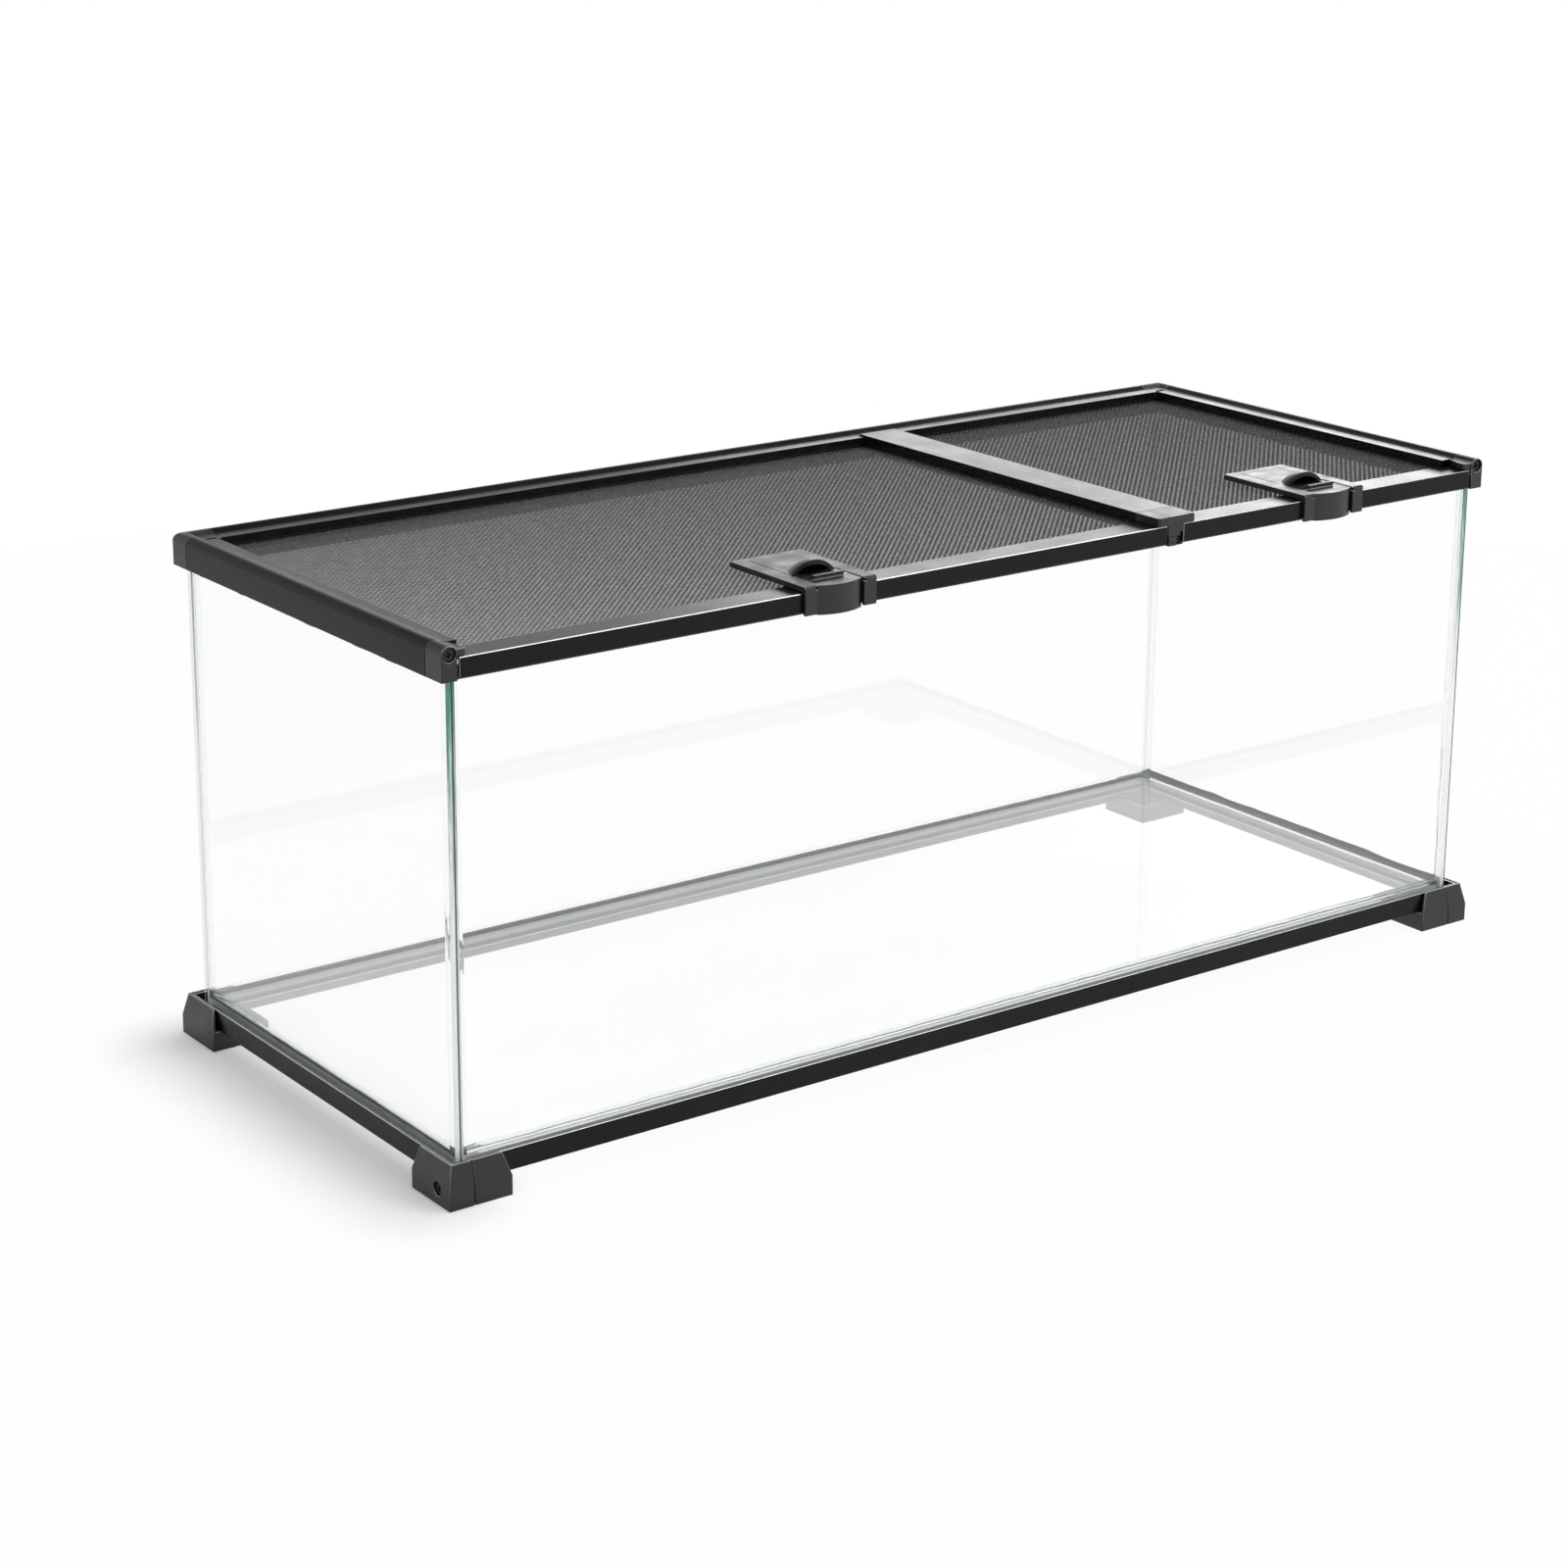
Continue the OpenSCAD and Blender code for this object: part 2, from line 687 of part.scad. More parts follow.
// Sill over the front pane, with the lip that the catch teeth hold on to
module top_front_sill() color(black) {
    half = frame_x - corner_face_w - fit;
    rear = -pane_y + pane_t + sill_play;
    span([-half, sill_front, frame_z], [half, sill_front + sill_t, sill_lip]);
    span([-half, sill_front, front_pane_top], [half, rear + sill_t, sill_web]);
    span([-half, rear, frame_z], [half, rear + sill_t, sill_web]);
}

// ---- Crossbar ----

wing_top = lip_edge_z + wing_h;

// Wings with turned-down edges, hollow stem and the flange that the lids run on
module crossbar_section() {
    flange_z = ledge_z - ledge_t;
    translate([-wing_w / 2, wing_top - bar_wall]) square([wing_w, bar_wall]);
    for (side = [-1, 1]) {
        translate([side * (wing_w - bar_wall) / 2 - bar_wall / 2, lip_edge_z]) square([bar_wall, wing_h]);
        translate([side * (stem_w - bar_wall) / 2 - bar_wall / 2, flange_z])
            square([bar_wall, wing_top - flange_z]);
    }
    translate([-wing_w / 2, flange_z]) square([wing_w, ledge_t]);
}

module crossbar() color(black) translate([crossbar_x, 0, 0]) {
    front = -frame_y + cap_l;
    rail_edge = frame_y - lip_u - fit;
    translate([0, front, 0]) along_y(rail_edge - front) crossbar_section();
    // stem foot on the rear ledge, under the lip
    span([-stem_w / 2, rail_edge - over, ledge_z], [stem_w / 2, frame_y - guide_u - fit, lip_edge_z - fit]);
    // top sheet laid over the rear lip
    span([-wing_w / 2, rail_edge - over, tank_h - lip_drop],
        [wing_w / 2, frame_y - lip_flat_u, wing_top]);
}

module crossbar_front_cap() color(plastic) translate([crossbar_x, 0, 0]) difference() {
    front = lid_front - fit;
    rear = -frame_y + cap_l - fit;
    union() {
        // wings in two steps at the front edge
        linear_extrude_between(lip_edge_z, wing_top - cap_step) cap_plan(front - 2 * cap_step, rear);
        linear_extrude_between(lip_edge_z, wing_top) cap_plan(front - cap_step, rear);
        // stem in front of the sill
        span([-stem_w / 2, front, frame_z], [stem_w / 2, sill_front - fit, lip_edge_z + fit]);
        // bridge over the sill's lip and foot on the sill's web
        span([-stem_w / 2, front, ledge_z], [stem_w / 2, rear, lip_edge_z + fit]);
        span([-stem_w / 2, sill_front + sill_t + fit, sill_web], [stem_w / 2, rear, lip_edge_z + fit]);
        // snap clip at the lower left
        span([-stem_w / 2, front - cap_step, frame_z], [0, front + fit, sill_web + cap_step]);
    }
    // release window at the lower right, open to the edge and stepped at the top
    window_top = sill_lip - window_step;
    span([cap_step, front - over, frame_z + cap_step],
        [stem_w / 2 + over, sill_front - fit + over, window_top]);
    span([stem_w / 2 - window_step, front - over, window_top - over],
        [stem_w / 2 + over, sill_front - fit + over, sill_lip]);
    for (i = [1:clip_ribs])
        span([-stem_w / 2 - over, front - over, frame_z + i * rib_pitch],
            [0, front - cap_step + rib_depth, frame_z + i * rib_pitch + rib_depth]);
}

module linear_extrude_between(low, high) translate([0, 0, low]) linear_extrude(high - low) children();

// Plan of the cap's wings with rounded front corners
module cap_plan(front, rear) {
    translate([-wing_w / 2 + cap_round, front]) square([wing_w - 2 * cap_round, cap_round]);
    translate([-wing_w / 2, front + cap_round]) square([wing_w, rear - front - cap_round]);
    for (side = [-1, 1])
        translate([side * (wing_w / 2 - cap_round), front + cap_round]) circle(cap_round, $fn = fn_round);
}

// ---- Lids ----

function middle(lid) = (lid[0] + lid[1]) / 2;

// Angle section in front with a thick rear edge; slots for the prongs, holes for the latch screws
module lid_front_profile(lid) color(black) difference() {
    union() {
        span([lid[0], lid_front, lid_top - band_h], [lid[1], lid_front + band_t, lid_top]);
        span([lid[0], lid_front, border_under], [lid[1], border_back, lid_top]);
        span([lid[0], border_back - border_edge, lid_z], [lid[1], border_back, lid_top]);
    }
    span([lid[0] + bar_w - screen_hold, border_back - screen_hold, slot_z],
        [lid[1] - bar_w + screen_hold, border_back + over, slot_z + screen_slot]);
    translate([middle(lid), 0, 0]) for (side = [-1, 1]) {
        translate([side * prong_x, 0, 0])
            span([-prong_w / 2 - run_gap, prong_y - prong_t - tongue_travel - run_gap, border_under - over],
                [prong_w / 2 + run_gap, prong_y + run_gap, lid_top + over]);
        translate([side * latch_screw_x, latch_screw_y, border_under - over])
            cylinder(r = latch_screw_r + screw_gap, h = band_t + 2 * over, $fn = fn_round);
    }
}

// Bar along Y with the screen slot on its +X side
module lid_side_bar() color(black) difference() {
    span([0, bars_y[0], lid_z], [bar_w, lid_rear, lid_top]);
    span([bar_w - screen_hold, bars_y[0] - over, slot_z],
        [bar_w + over, bars_y[1] + screen_hold, slot_z + screen_slot]);
}

module lid_left_bar(lid) translate([lid[0], 0, 0]) lid_side_bar();
module lid_right_bar(lid) translate([lid[1], 0, 0]) mirror([1, 0, 0]) lid_side_bar();

module lid_rear_bar(lid) color(black) difference() {
    span([lid[0] + bar_w, bars_y[1], lid_z], [lid[1] - bar_w, lid_rear, lid_top]);
    span([lid[0], bars_y[1] - over, slot_z], [lid[1], bars_y[1] + screen_hold, slot_z + screen_slot]);
}

// Two layers of wires, held in the slots of the bars
module lid_screen(lid) color(screen_grey) {
    low = [lid[0] + bar_w - screen_hold + fit, bars_y[0] - screen_hold + fit];
    high = [lid[1] - bar_w + screen_hold - fit, bars_y[1] + screen_hold - fit];
    size = high - low;
    across = floor((size[0] - wire_w) / wire_pitch);
    along = floor((size[1] - wire_w) / wire_pitch);
    edge = (size - [across, along] * wire_pitch) / 2;
    layer = slot_z + (screen_slot - 2 * wire_w - wire_gap) / 2;
    for (i = [0:across])
        translate([low[0] + edge[0] + i * wire_pitch - wire_w / 2, low[1], layer])
            cube([wire_w, size[1], wire_w]);
    for (j = [0:along])
        translate([low[0], low[1] + edge[1] + j * wire_pitch - wire_w / 2, layer + wire_w + wire_gap])
            cube([size[0], wire_w, wire_w]);
}

// ---- Latch ----

// Side view of the housing: plate with legs over the lid's front band
module housing_section() {
    back = lid_front - run_gap;
    leg_bottom = lid_top - leg_drop;
    difference() {
        union() {
            translate([leg_front, plate_z]) square([latch_rear - leg_front, latch_t]);
            translate([leg_front, leg_bottom]) square([back - leg_front, latch_top - leg_bottom]);
        }
        translate([leg_front - over, latch_top - leg_round]) square([leg_round + over, leg_round + over]);
    }
    translate([leg_front + leg_round, latch_top - leg_round]) circle(leg_round, $fn = fn_round);
}

module cover_plan(grow) {
    half = cover_w / 2 + grow;
    front = cover_y - grow;
    translate([-half + cover_round, front]) square([2 * (half - cover_round), cover_round]);
    translate([-half, front + cover_round]) square([2 * half, cover_rear + grow - front - cover_round]);
    for (side = [-1, 1])
        translate([side * (half - cover_round), front + cover_round]) circle(cover_round, $fn = fn_round);
}

module latch_housing() color(plastic) difference() {
    along_x(latch_w) housing_section();
    // mouth for the tongue, open to the front
    span([-mouth_w / 2, leg_front - over, lid_top - leg_drop - over],
        [mouth_w / 2, cover_y, latch_top + over]);
    span([-mouth_w / 2 - tongue_key - run_gap, leg_front - over, key_z - key_h / 2 - run_gap],
        [mouth_w / 2 + tongue_key + run_gap, cover_y - over, key_z + key_h / 2 + run_gap]);
    // seat of the cover
    linear_extrude_between(latch_top - cover_t, latch_top + over) cover_plan(cover_groove);
    for (side = [-1, 1]) translate([side * latch_screw_x, latch_screw_y, plate_z - over])
        cylinder(r = latch_screw_r + screw_gap, h = latch_screw_up + fit + over, $fn = fn_round);
}

// Radius of a sphere whose cap has this height over this radius
function cap_sphere(r, h) = (r^2 + h^2) / (2 * h);

module cap_ball(r, h) translate([0, cover_y, latch_top + h - cap_sphere(r, h)])
    sphere(cap_sphere(r, h), $fn = fn_large);

// Cover with a half dome at its front edge that hoods the finger recess
module latch_cover() color(plastic) {
    difference() {
        linear_extrude_between(latch_top - cover_t, latch_top) cover_plan(0);
        translate([0, cover_y, latch_top - scoop_h + cap_sphere(mouth_r, scoop_h)])
            sphere(cap_sphere(mouth_r, scoop_h), $fn = fn_large);
    }
    difference() {
        intersection() {
            cap_ball(hood_r, hood_h);
            span([-hood_r, cover_y, latch_top - fit], [hood_r, cover_y + hood_r, latch_top + hood_h]);
        }
        cap_ball(mouth_r, mouth_h);
    }
}

// Plan of the tongue: straight sides and a bulging front, cut off at a rear line
module tongue_plan(rear) intersection() {
    translate([0, tongue_front + tongue_r]) circle(tongue_r, $fn = fn_large);
    translate([-tongue_w / 2, tongue_front]) square([tongue_w, rear - tongue_front]);
}

module tongue_grip() difference() {
    span([-grip_l / 2, grip_back - grip_t, tongue_top - fit], [grip_l / 2, grip_back, tongue_top + grip_h]);
    for (i = [1:grip_notches])
        translate([-grip_l / 2 + grip_l * i / (grip_notches + 1), grip_back, tongue_top])
            cylinder(r = grip_t / 3, h = grip_h + over, $fn = fn_small);
}

module latch_tongue() color(plastic) {
    difference() {
        union() {
            linear_extrude_between(tongue_bottom, tongue_top) difference() {
                tongue_plan(lid_front - run_gap);
                translate([0, tongue_front + tongue_r]) circle(tongue_r - tongue_wall, $fn = fn_large);
            }
            linear_extrude_between(tongue_z, tongue_top)
                square_between(tongue_front + tongue_bulge, tongue_rear);
            linear_extrude_between(tongue_z, tongue_top) tongue_plan(tongue_front + tongue_bulge + fit);
            // guide ribs in the housing's grooves
            span([-mouth_w / 2 - tongue_key, lid_front, key_z - key_h / 2],
                [mouth_w / 2 + tongue_key, tongue_rear - over, key_z + key_h / 2]);
        }
        // finger recess behind the grip rib
        span([-grip_l / 2 - over, grip_back, tongue_top - recess_depth],
            [grip_l / 2 + over, tongue_rear + over, tongue_top + over]);
    }
    tongue_grip();
    // prongs through the lid's border, with feet that lift the leaf
    for (side = [-1, 1]) translate([side * prong_x, prong_y - prong_t, 0]) {
        span([-prong_w / 2, 0, prong_z], [prong_w / 2, prong_t, tongue_z + fit]);
        span([min(-side * prong_foot, prong_w / 2), 0, prong_z],
            [max(-side * prong_foot, -prong_w / 2), prong_t, prong_z + prong_foot_h]);
    }
}

module square_between(front, rear)
    translate([-tongue_w / 2, front]) square([tongue_w, rear - front]);

// Acetal leaf spring under the border: clamped strip, sloping tongue and a tooth behind the sill's lip
module catch_spring() color(acetal) difference() {
    low = border_under - leaf_drop;
    union() {
        span([-latch_w / 2 + strip_margin, strip_front, border_under - leaf_t],
            [latch_w / 2 - strip_margin, strip_back, border_under]);
        along_x(leaf_w) polygon([
            [strip_back, border_under], [strip_front, border_under],
            [tooth_front, low], [tooth_front, low - leaf_t - tooth_h],
            [tooth_front + leaf_t, low - leaf_t - tooth_h], [tooth_front + leaf_t, low - leaf_t],
            [strip_front, border_under - leaf_t], [strip_back, border_under - leaf_t]
        ]);
    }
    for (side = [-1, 1]) translate([side * latch_screw_x, latch_screw_y, border_under - 2 * leaf_t])
        cylinder(r = latch_screw_r + screw_gap, h = 3 * leaf_t, $fn = fn_round);
}

module latch_screws() color(steel) for (side = [-1, 1])
    translate([side * latch_screw_x, latch_screw_y, border_under - leaf_t]) {
        translate([0, 0, -latch_head_h]) cylinder(r = latch_head_r, h = latch_head_h, $fn = fn_round);
        cylinder(r = latch_screw_r, h = plate_z - border_under + leaf_t + latch_screw_up, $fn = fn_round);
    }

module on_lid(lid) translate([middle(lid), 0, 0]) children();

module left_lid_front_profile() lid_front_profile(left_lid);
module left_lid_outer_bar() lid_left_bar(left_lid);
module left_lid_inner_bar() lid_right_bar(left_lid);
module left_lid_rear_bar() lid_rear_bar(left_lid);
module left_lid_screen() lid_screen(left_lid);
module left_latch_housing() on_lid(left_lid) latch_housing();
module left_latch_cover() on_lid(left_lid) latch_cover();
module left_latch_tongue() on_lid(left_lid) latch_tongue();
module left_catch_spring() on_lid(left_lid) catch_spring();
module left_latch_screws() on_lid(left_lid) latch_screws();
module right_lid_front_profile() lid_front_profile(right_lid);
module right_lid_outer_bar() lid_right_bar(right_lid);
module right_lid_inner_bar() lid_left_bar(right_lid);
module right_lid_rear_bar() lid_rear_bar(right_lid);
module right_lid_screen() lid_screen(right_lid);
module right_latch_housing() on_lid(right_lid) latch_housing();
module right_latch_cover() on_lid(right_lid) latch_cover();
module right_latch_tongue() on_lid(right_lid) latch_tongue();
module right_catch_spring() on_lid(right_lid) catch_spring();
module right_latch_screws() on_lid(right_lid) latch_screws();

bottom_glass();
front_glass();
rear_glass();
left_glass();
right_glass();
silicone_seams();
base_front_rail();
base_rear_rail();
base_left_rail();
base_right_rail();
foot_block_front_left();
foot_block_front_right();
foot_block_rear_left();
foot_block_rear_right();
foot_cap_front_left();
foot_cap_front_right();
foot_cap_rear_left();
foot_cap_rear_right();
foot_screws();
top_rear_rail();
top_left_rail();
top_right_rail();
top_front_sill();
corner_front_left();
corner_front_right();
corner_rear_left();
corner_rear_right();
corner_screws();
crossbar();
crossbar_front_cap();
left_lid_front_profile();
left_lid_outer_bar();
left_lid_inner_bar();
left_lid_rear_bar();
left_lid_screen();
left_latch_housing();
left_latch_cover();
left_latch_tongue();
left_catch_spring();
left_latch_screws();
right_lid_front_profile();
right_lid_outer_bar();
right_lid_inner_bar();
right_lid_rear_bar();
right_lid_screen();
right_latch_housing();
right_latch_cover();
right_latch_tongue();
right_catch_spring();
right_latch_screws();
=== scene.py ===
import math

import bpy
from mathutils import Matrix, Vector, noise


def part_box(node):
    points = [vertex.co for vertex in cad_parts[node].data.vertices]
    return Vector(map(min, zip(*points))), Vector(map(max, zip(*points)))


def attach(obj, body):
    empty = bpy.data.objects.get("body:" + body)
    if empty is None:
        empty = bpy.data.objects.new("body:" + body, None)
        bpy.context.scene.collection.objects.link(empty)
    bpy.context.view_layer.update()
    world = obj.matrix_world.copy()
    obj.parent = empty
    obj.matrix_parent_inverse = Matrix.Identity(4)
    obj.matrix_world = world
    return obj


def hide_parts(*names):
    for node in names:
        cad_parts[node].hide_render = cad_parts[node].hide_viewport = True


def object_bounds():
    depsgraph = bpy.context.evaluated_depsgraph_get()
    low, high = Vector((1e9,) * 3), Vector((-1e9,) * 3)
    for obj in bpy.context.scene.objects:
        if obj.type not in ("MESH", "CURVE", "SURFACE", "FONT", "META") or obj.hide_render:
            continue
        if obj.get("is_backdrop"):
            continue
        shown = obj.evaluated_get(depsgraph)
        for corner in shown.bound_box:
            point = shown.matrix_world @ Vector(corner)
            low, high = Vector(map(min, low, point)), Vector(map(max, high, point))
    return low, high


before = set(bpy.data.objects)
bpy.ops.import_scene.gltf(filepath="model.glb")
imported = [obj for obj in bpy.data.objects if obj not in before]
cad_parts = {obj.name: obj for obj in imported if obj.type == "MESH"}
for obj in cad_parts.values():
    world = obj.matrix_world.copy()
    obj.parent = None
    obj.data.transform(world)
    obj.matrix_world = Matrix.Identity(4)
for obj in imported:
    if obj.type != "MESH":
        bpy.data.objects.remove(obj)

scene = bpy.context.scene
scene.view_settings.view_transform = "Standard"
cad_low, cad_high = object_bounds()

# ---- Camera ----
# A short telephoto lens 0.77 m above the surface that the tank stands on, turned
# to its front and its left end, with a small shift that frames it.
camera = bpy.data.objects.new("camera", bpy.data.cameras.new("camera"))
scene.collection.objects.link(camera)
camera.location = (-1.2239, -1.5793, 0.7748)
camera.rotation_euler = (math.radians(90 - 15.48), 0, math.radians(-35.19))
camera.data.sensor_width = 36
camera.data.lens = 79.13
camera.data.shift_x = 0.05
camera.data.shift_y = -0.10
scene.camera = camera

# ---- Studio ----
# White matt card under and around the tank, lit by an even white room and four
# softboxes, all to the right of it: one overhead, one in front and two behind.


def linear(code):
    """An sRGB hex colour as linear RGBA."""
    shares = [int(code[i:i + 2], 16) / 255 for i in (1, 3, 5)]
    return [s / 12.92 if s <= 0.04045 else ((s + 0.055) / 1.055) ** 2.4 for s in shares] + [1.0]


def add_node(tree, kind, sockets=None, **settings):
    """Adds one node with its own settings and its sockets, by name or number: each a value or a link."""
    made = tree.nodes.new(kind)
    for name, value in settings.items():
        setattr(made, name, value)
    for name, value in (sockets or {}).items():
        if isinstance(value, bpy.types.NodeSocket):
            tree.links.new(value, made.inputs[name])
        else:
            made.inputs[name].default_value = value
    return made


def new_material(name):
    """An empty material with its node tree."""
    material = bpy.data.materials.new(name)
    material.use_nodes = True
    material.node_tree.nodes.clear()
    return material, material.node_tree


room = bpy.data.worlds.new("white_room")
room.use_nodes = True
scene.world = room
tree = room.node_tree
tree.nodes.clear()
path = add_node(tree, "ShaderNodeLightPath")
straight = add_node(tree, "ShaderNodeMath", {
    0: path.outputs["Is Camera Ray"], 1: path.outputs["Is Transmission Ray"]}, operation="MAXIMUM")
room_light = add_node(tree, "ShaderNodeBackground", {"Color": linear("#f8f9fa"), "Strength": 0.5})
# mirrored in the tank, the room is white to 20 degrees above the horizon and grey overhead
way = add_node(tree, "ShaderNodeTexCoord")
way = add_node(tree, "ShaderNodeSeparateXYZ", {0: way.outputs["Generated"]})
ceiling = add_node(tree, "ShaderNodeMapRange", {
    "Value": way.outputs[2], "From Min": 0.34, "From Max": 0.6, "To Min": 1.0, "To Max": 0.2})
# and dimmer on the left, the side away from the softboxes
left_side = add_node(tree, "ShaderNodeMapRange", {
    "Value": way.outputs[0], "From Min": -0.9, "From Max": -0.1, "To Min": 0.62, "To Max": 1.0})
brightness = add_node(tree, "ShaderNodeMath", {
    0: ceiling.outputs[0], 1: left_side.outputs[0]}, operation="MULTIPLY")
room_gloss = add_node(tree, "ShaderNodeBackground", {
    "Color": linear("#ffffff"), "Strength": brightness.outputs[0]})
room_white = add_node(tree, "ShaderNodeBackground", {"Color": linear("#ffffff"), "Strength": 1.0})
gloss_mix = add_node(tree, "ShaderNodeMixShader", {
    0: path.outputs["Is Glossy Ray"], 1: room_light.outputs[0], 2: room_gloss.outputs[0]})
room_mix = add_node(tree, "ShaderNodeMixShader", {
    0: straight.outputs[0], 1: gloss_mix.outputs[0], 2: room_white.outputs[0]})
add_node(tree, "ShaderNodeOutputWorld", {"Surface": room_mix.outputs[0]})

card, tree = new_material("white_matt_card")
card_front = add_node(tree, "ShaderNodeBsdfDiffuse", {"Color": linear("#fafafa"), "Roughness": 1.0})
card_painted_glow = add_node(tree, "ShaderNodeEmission", {"Color": linear("#ffffff"), "Strength": 1.0})
# the card shows a painted white glow, which covers the tank's real shadow everywhere except in a zone to
# the left, where the glow is held back and the real shadow shows. That zone is measured from a line
# along the left feet, 4 mm outside them and 130 mm each way from the middle
shadow_x, shadow_reach = cad_low[0] - 0.004, 0.13
spot = add_node(tree, "ShaderNodeNewGeometry")
place = add_node(tree, "ShaderNodeSeparateXYZ", {0: spot.outputs["Position"]})
aside = add_node(tree, "ShaderNodeMath", {0: place.outputs["X"], 1: shadow_x}, operation="SUBTRACT")
along = add_node(tree, "ShaderNodeMath", {0: place.outputs["Y"]}, operation="ABSOLUTE")
along = add_node(tree, "ShaderNodeMath", {0: along.outputs[0], 1: shadow_reach}, operation="SUBTRACT")
along = add_node(tree, "ShaderNodeMath", {0: along.outputs[0], 1: 0.0}, operation="MAXIMUM")
away = add_node(tree, "ShaderNodeCombineXYZ", {0: aside.outputs[0], 1: along.outputs[0]})
away = add_node(tree, "ShaderNodeVectorMath", {0: away.outputs[0]}, operation="LENGTH")
# the painted glow is weakest at the line, where the real shadow shows most, and close to full 65 mm away from
# it
beside = add_node(tree, "ShaderNodeMapRange", {
    "Value": away.outputs["Value"], "From Min": 0.0, "From Max": 0.065, "To Min": 0.1, "To Max": 0.94},
    interpolation_type="SMOOTHSTEP")
# under the tank the painted glow paints light over the tank's shade; it rises to most of full
# within 30 mm of the left feet's outer faces
under = add_node(tree, "ShaderNodeMapRange", {
    "Value": place.outputs["X"], "From Min": -0.38, "From Max": -0.35, "To Min": 0.12, "To Max": 0.85})
near = add_node(tree, "ShaderNodeMath", {0: beside.outputs[0], 1: under.outputs[0]}, operation="MAXIMUM")
# and the card is all white from 1.3 m away from the tank's middle
far = add_node(tree, "ShaderNodeVectorMath", {0: spot.outputs["Position"]}, operation="LENGTH")
far = add_node(tree, "ShaderNodeMapRange", {
    "Value": far.outputs["Value"], "From Min": 0.6, "From Max": 1.3, "To Min": 0.0, "To Max": 1.0})
share = add_node(tree, "ShaderNodeMath", {0: near.outputs[0], 1: far.outputs[0]}, operation="MAXIMUM")
# straight or through glass this counts in full, and in reflections by half to the left of the tank
path = add_node(tree, "ShaderNodeLightPath")
mirrored = add_node(tree, "ShaderNodeMapRange", {
    "Value": place.outputs["X"], "From Min": -0.44, "From Max": -0.39, "To Min": 0.5, "To Max": 1.0})
mirrored = add_node(tree, "ShaderNodeMath", {
    0: mirrored.outputs[0], 1: path.outputs["Is Glossy Ray"]}, operation="MULTIPLY")
seen = add_node(tree, "ShaderNodeMath", {
    0: path.outputs["Is Camera Ray"], 1: mirrored.outputs[0]}, operation="MAXIMUM")
seen = add_node(tree, "ShaderNodeMath", {
    0: seen.outputs[0], 1: path.outputs["Is Transmission Ray"]}, operation="MAXIMUM")
# the share of painted white glow laid over the card's real shading
painted_glow_share = add_node(tree, "ShaderNodeMath", {0: seen.outputs[0], 1: share.outputs[0]}, operation="MULTIPLY")
card_with_painted_glow = add_node(tree, "ShaderNodeMixShader", {
    0: painted_glow_share.outputs[0], 1: card_front.outputs[0], 2: card_painted_glow.outputs[0]})
# from below the card is clear, so that the tank's underside can be looked at
card_back = add_node(tree, "ShaderNodeBsdfTransparent")
card_mix = add_node(tree, "ShaderNodeMixShader", {
    0: spot.outputs["Backfacing"], 1: card_with_painted_glow.outputs[0], 2: card_back.outputs[0]})
add_node(tree, "ShaderNodeOutputMaterial", {"Surface": card_mix.outputs[0]})

reach = 15
floor_mesh = bpy.data.meshes.new("floor")
floor_mesh.from_pydata(
    [(-reach, -reach, 0), (reach, -reach, 0), (reach, reach, 0), (-reach, reach, 0)], [], [(0, 1, 2, 3)])
floor_mesh.materials.append(card)
floor = bpy.data.objects.new("floor", floor_mesh)
scene.collection.objects.link(floor)
# a hair below the feet, so that no two faces coincide
floor.location.z = -0.0002
floor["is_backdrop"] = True

# each softbox: its place, the point it faces, its width, height and watts
for name, place, aim, width, height, watts in (
        ("softbox_overhead", (0.6, -0.35, 2.0), (0.6, -0.35, 0.0), 2.6, 1.3, 24),
        ("softbox_front", (1.5, -2.3, 1.2), (0.1, 0.0, 0.15), 1.5, 1.3, 14),
        ("softbox_behind", (2.45, 1.5, 1.1), (0.1, 0.0, 0.2), 1.3, 0.8, 16),
        ("softbox_behind_left", (1.85, 2.25, 1.1), (0.1, 0.0, 0.2), 0.6, 0.8, 3.8)):
    lamp = bpy.data.lights.new(name, "AREA")
    lamp.shape, lamp.size, lamp.size_y, lamp.energy = "RECTANGLE", width, height, watts
    softbox = bpy.data.objects.new(name, lamp)
    softbox.location = place
    softbox.rotation_euler = (Vector(aim) - Vector(place)).to_track_quat("-Z", "Y").to_euler()
    softbox.visible_camera = softbox.visible_transmission = False
    scene.collection.objects.link(softbox)

# ---- Base rails ----
# Four mitred aluminium extrusions that the panes stand in, anodised black.
# The die leaves faint lines along each of them, and the sealed oxide is satin.


def welded_faces():
    """Joins a solid's facets where they meet within 0.002 mm, so that its edges can be eased."""
    group = bpy.data.node_groups.new("welded_faces", "GeometryNodeTree")
    group.interface.new_socket("Geometry", in_out="INPUT", socket_type="NodeSocketGeometry")
    group.interface.new_socket("Geometry", in_out="OUTPUT", socket_type="NodeSocketGeometry")
    start = add_node(group, "NodeGroupInput")
    bare_mesh_and_painted_gleam = add_node(group, "GeometryNodeRemoveAttribute", {
        "Geometry": start.outputs[0], "Name": "custom_normal"})
    whole = add_node(group, "GeometryNodeMergeByDistance", {"Geometry": bare_mesh_and_painted_gleam.outputs[0], "Distance": 2e-6})
    smooth = add_node(group, "GeometryNodeSetShadeSmooth", {0: whole.outputs[0]})
    add_node(group, "NodeGroupOutput", {0: smooth.outputs[0]})
    return group


weld_group = welded_faces()


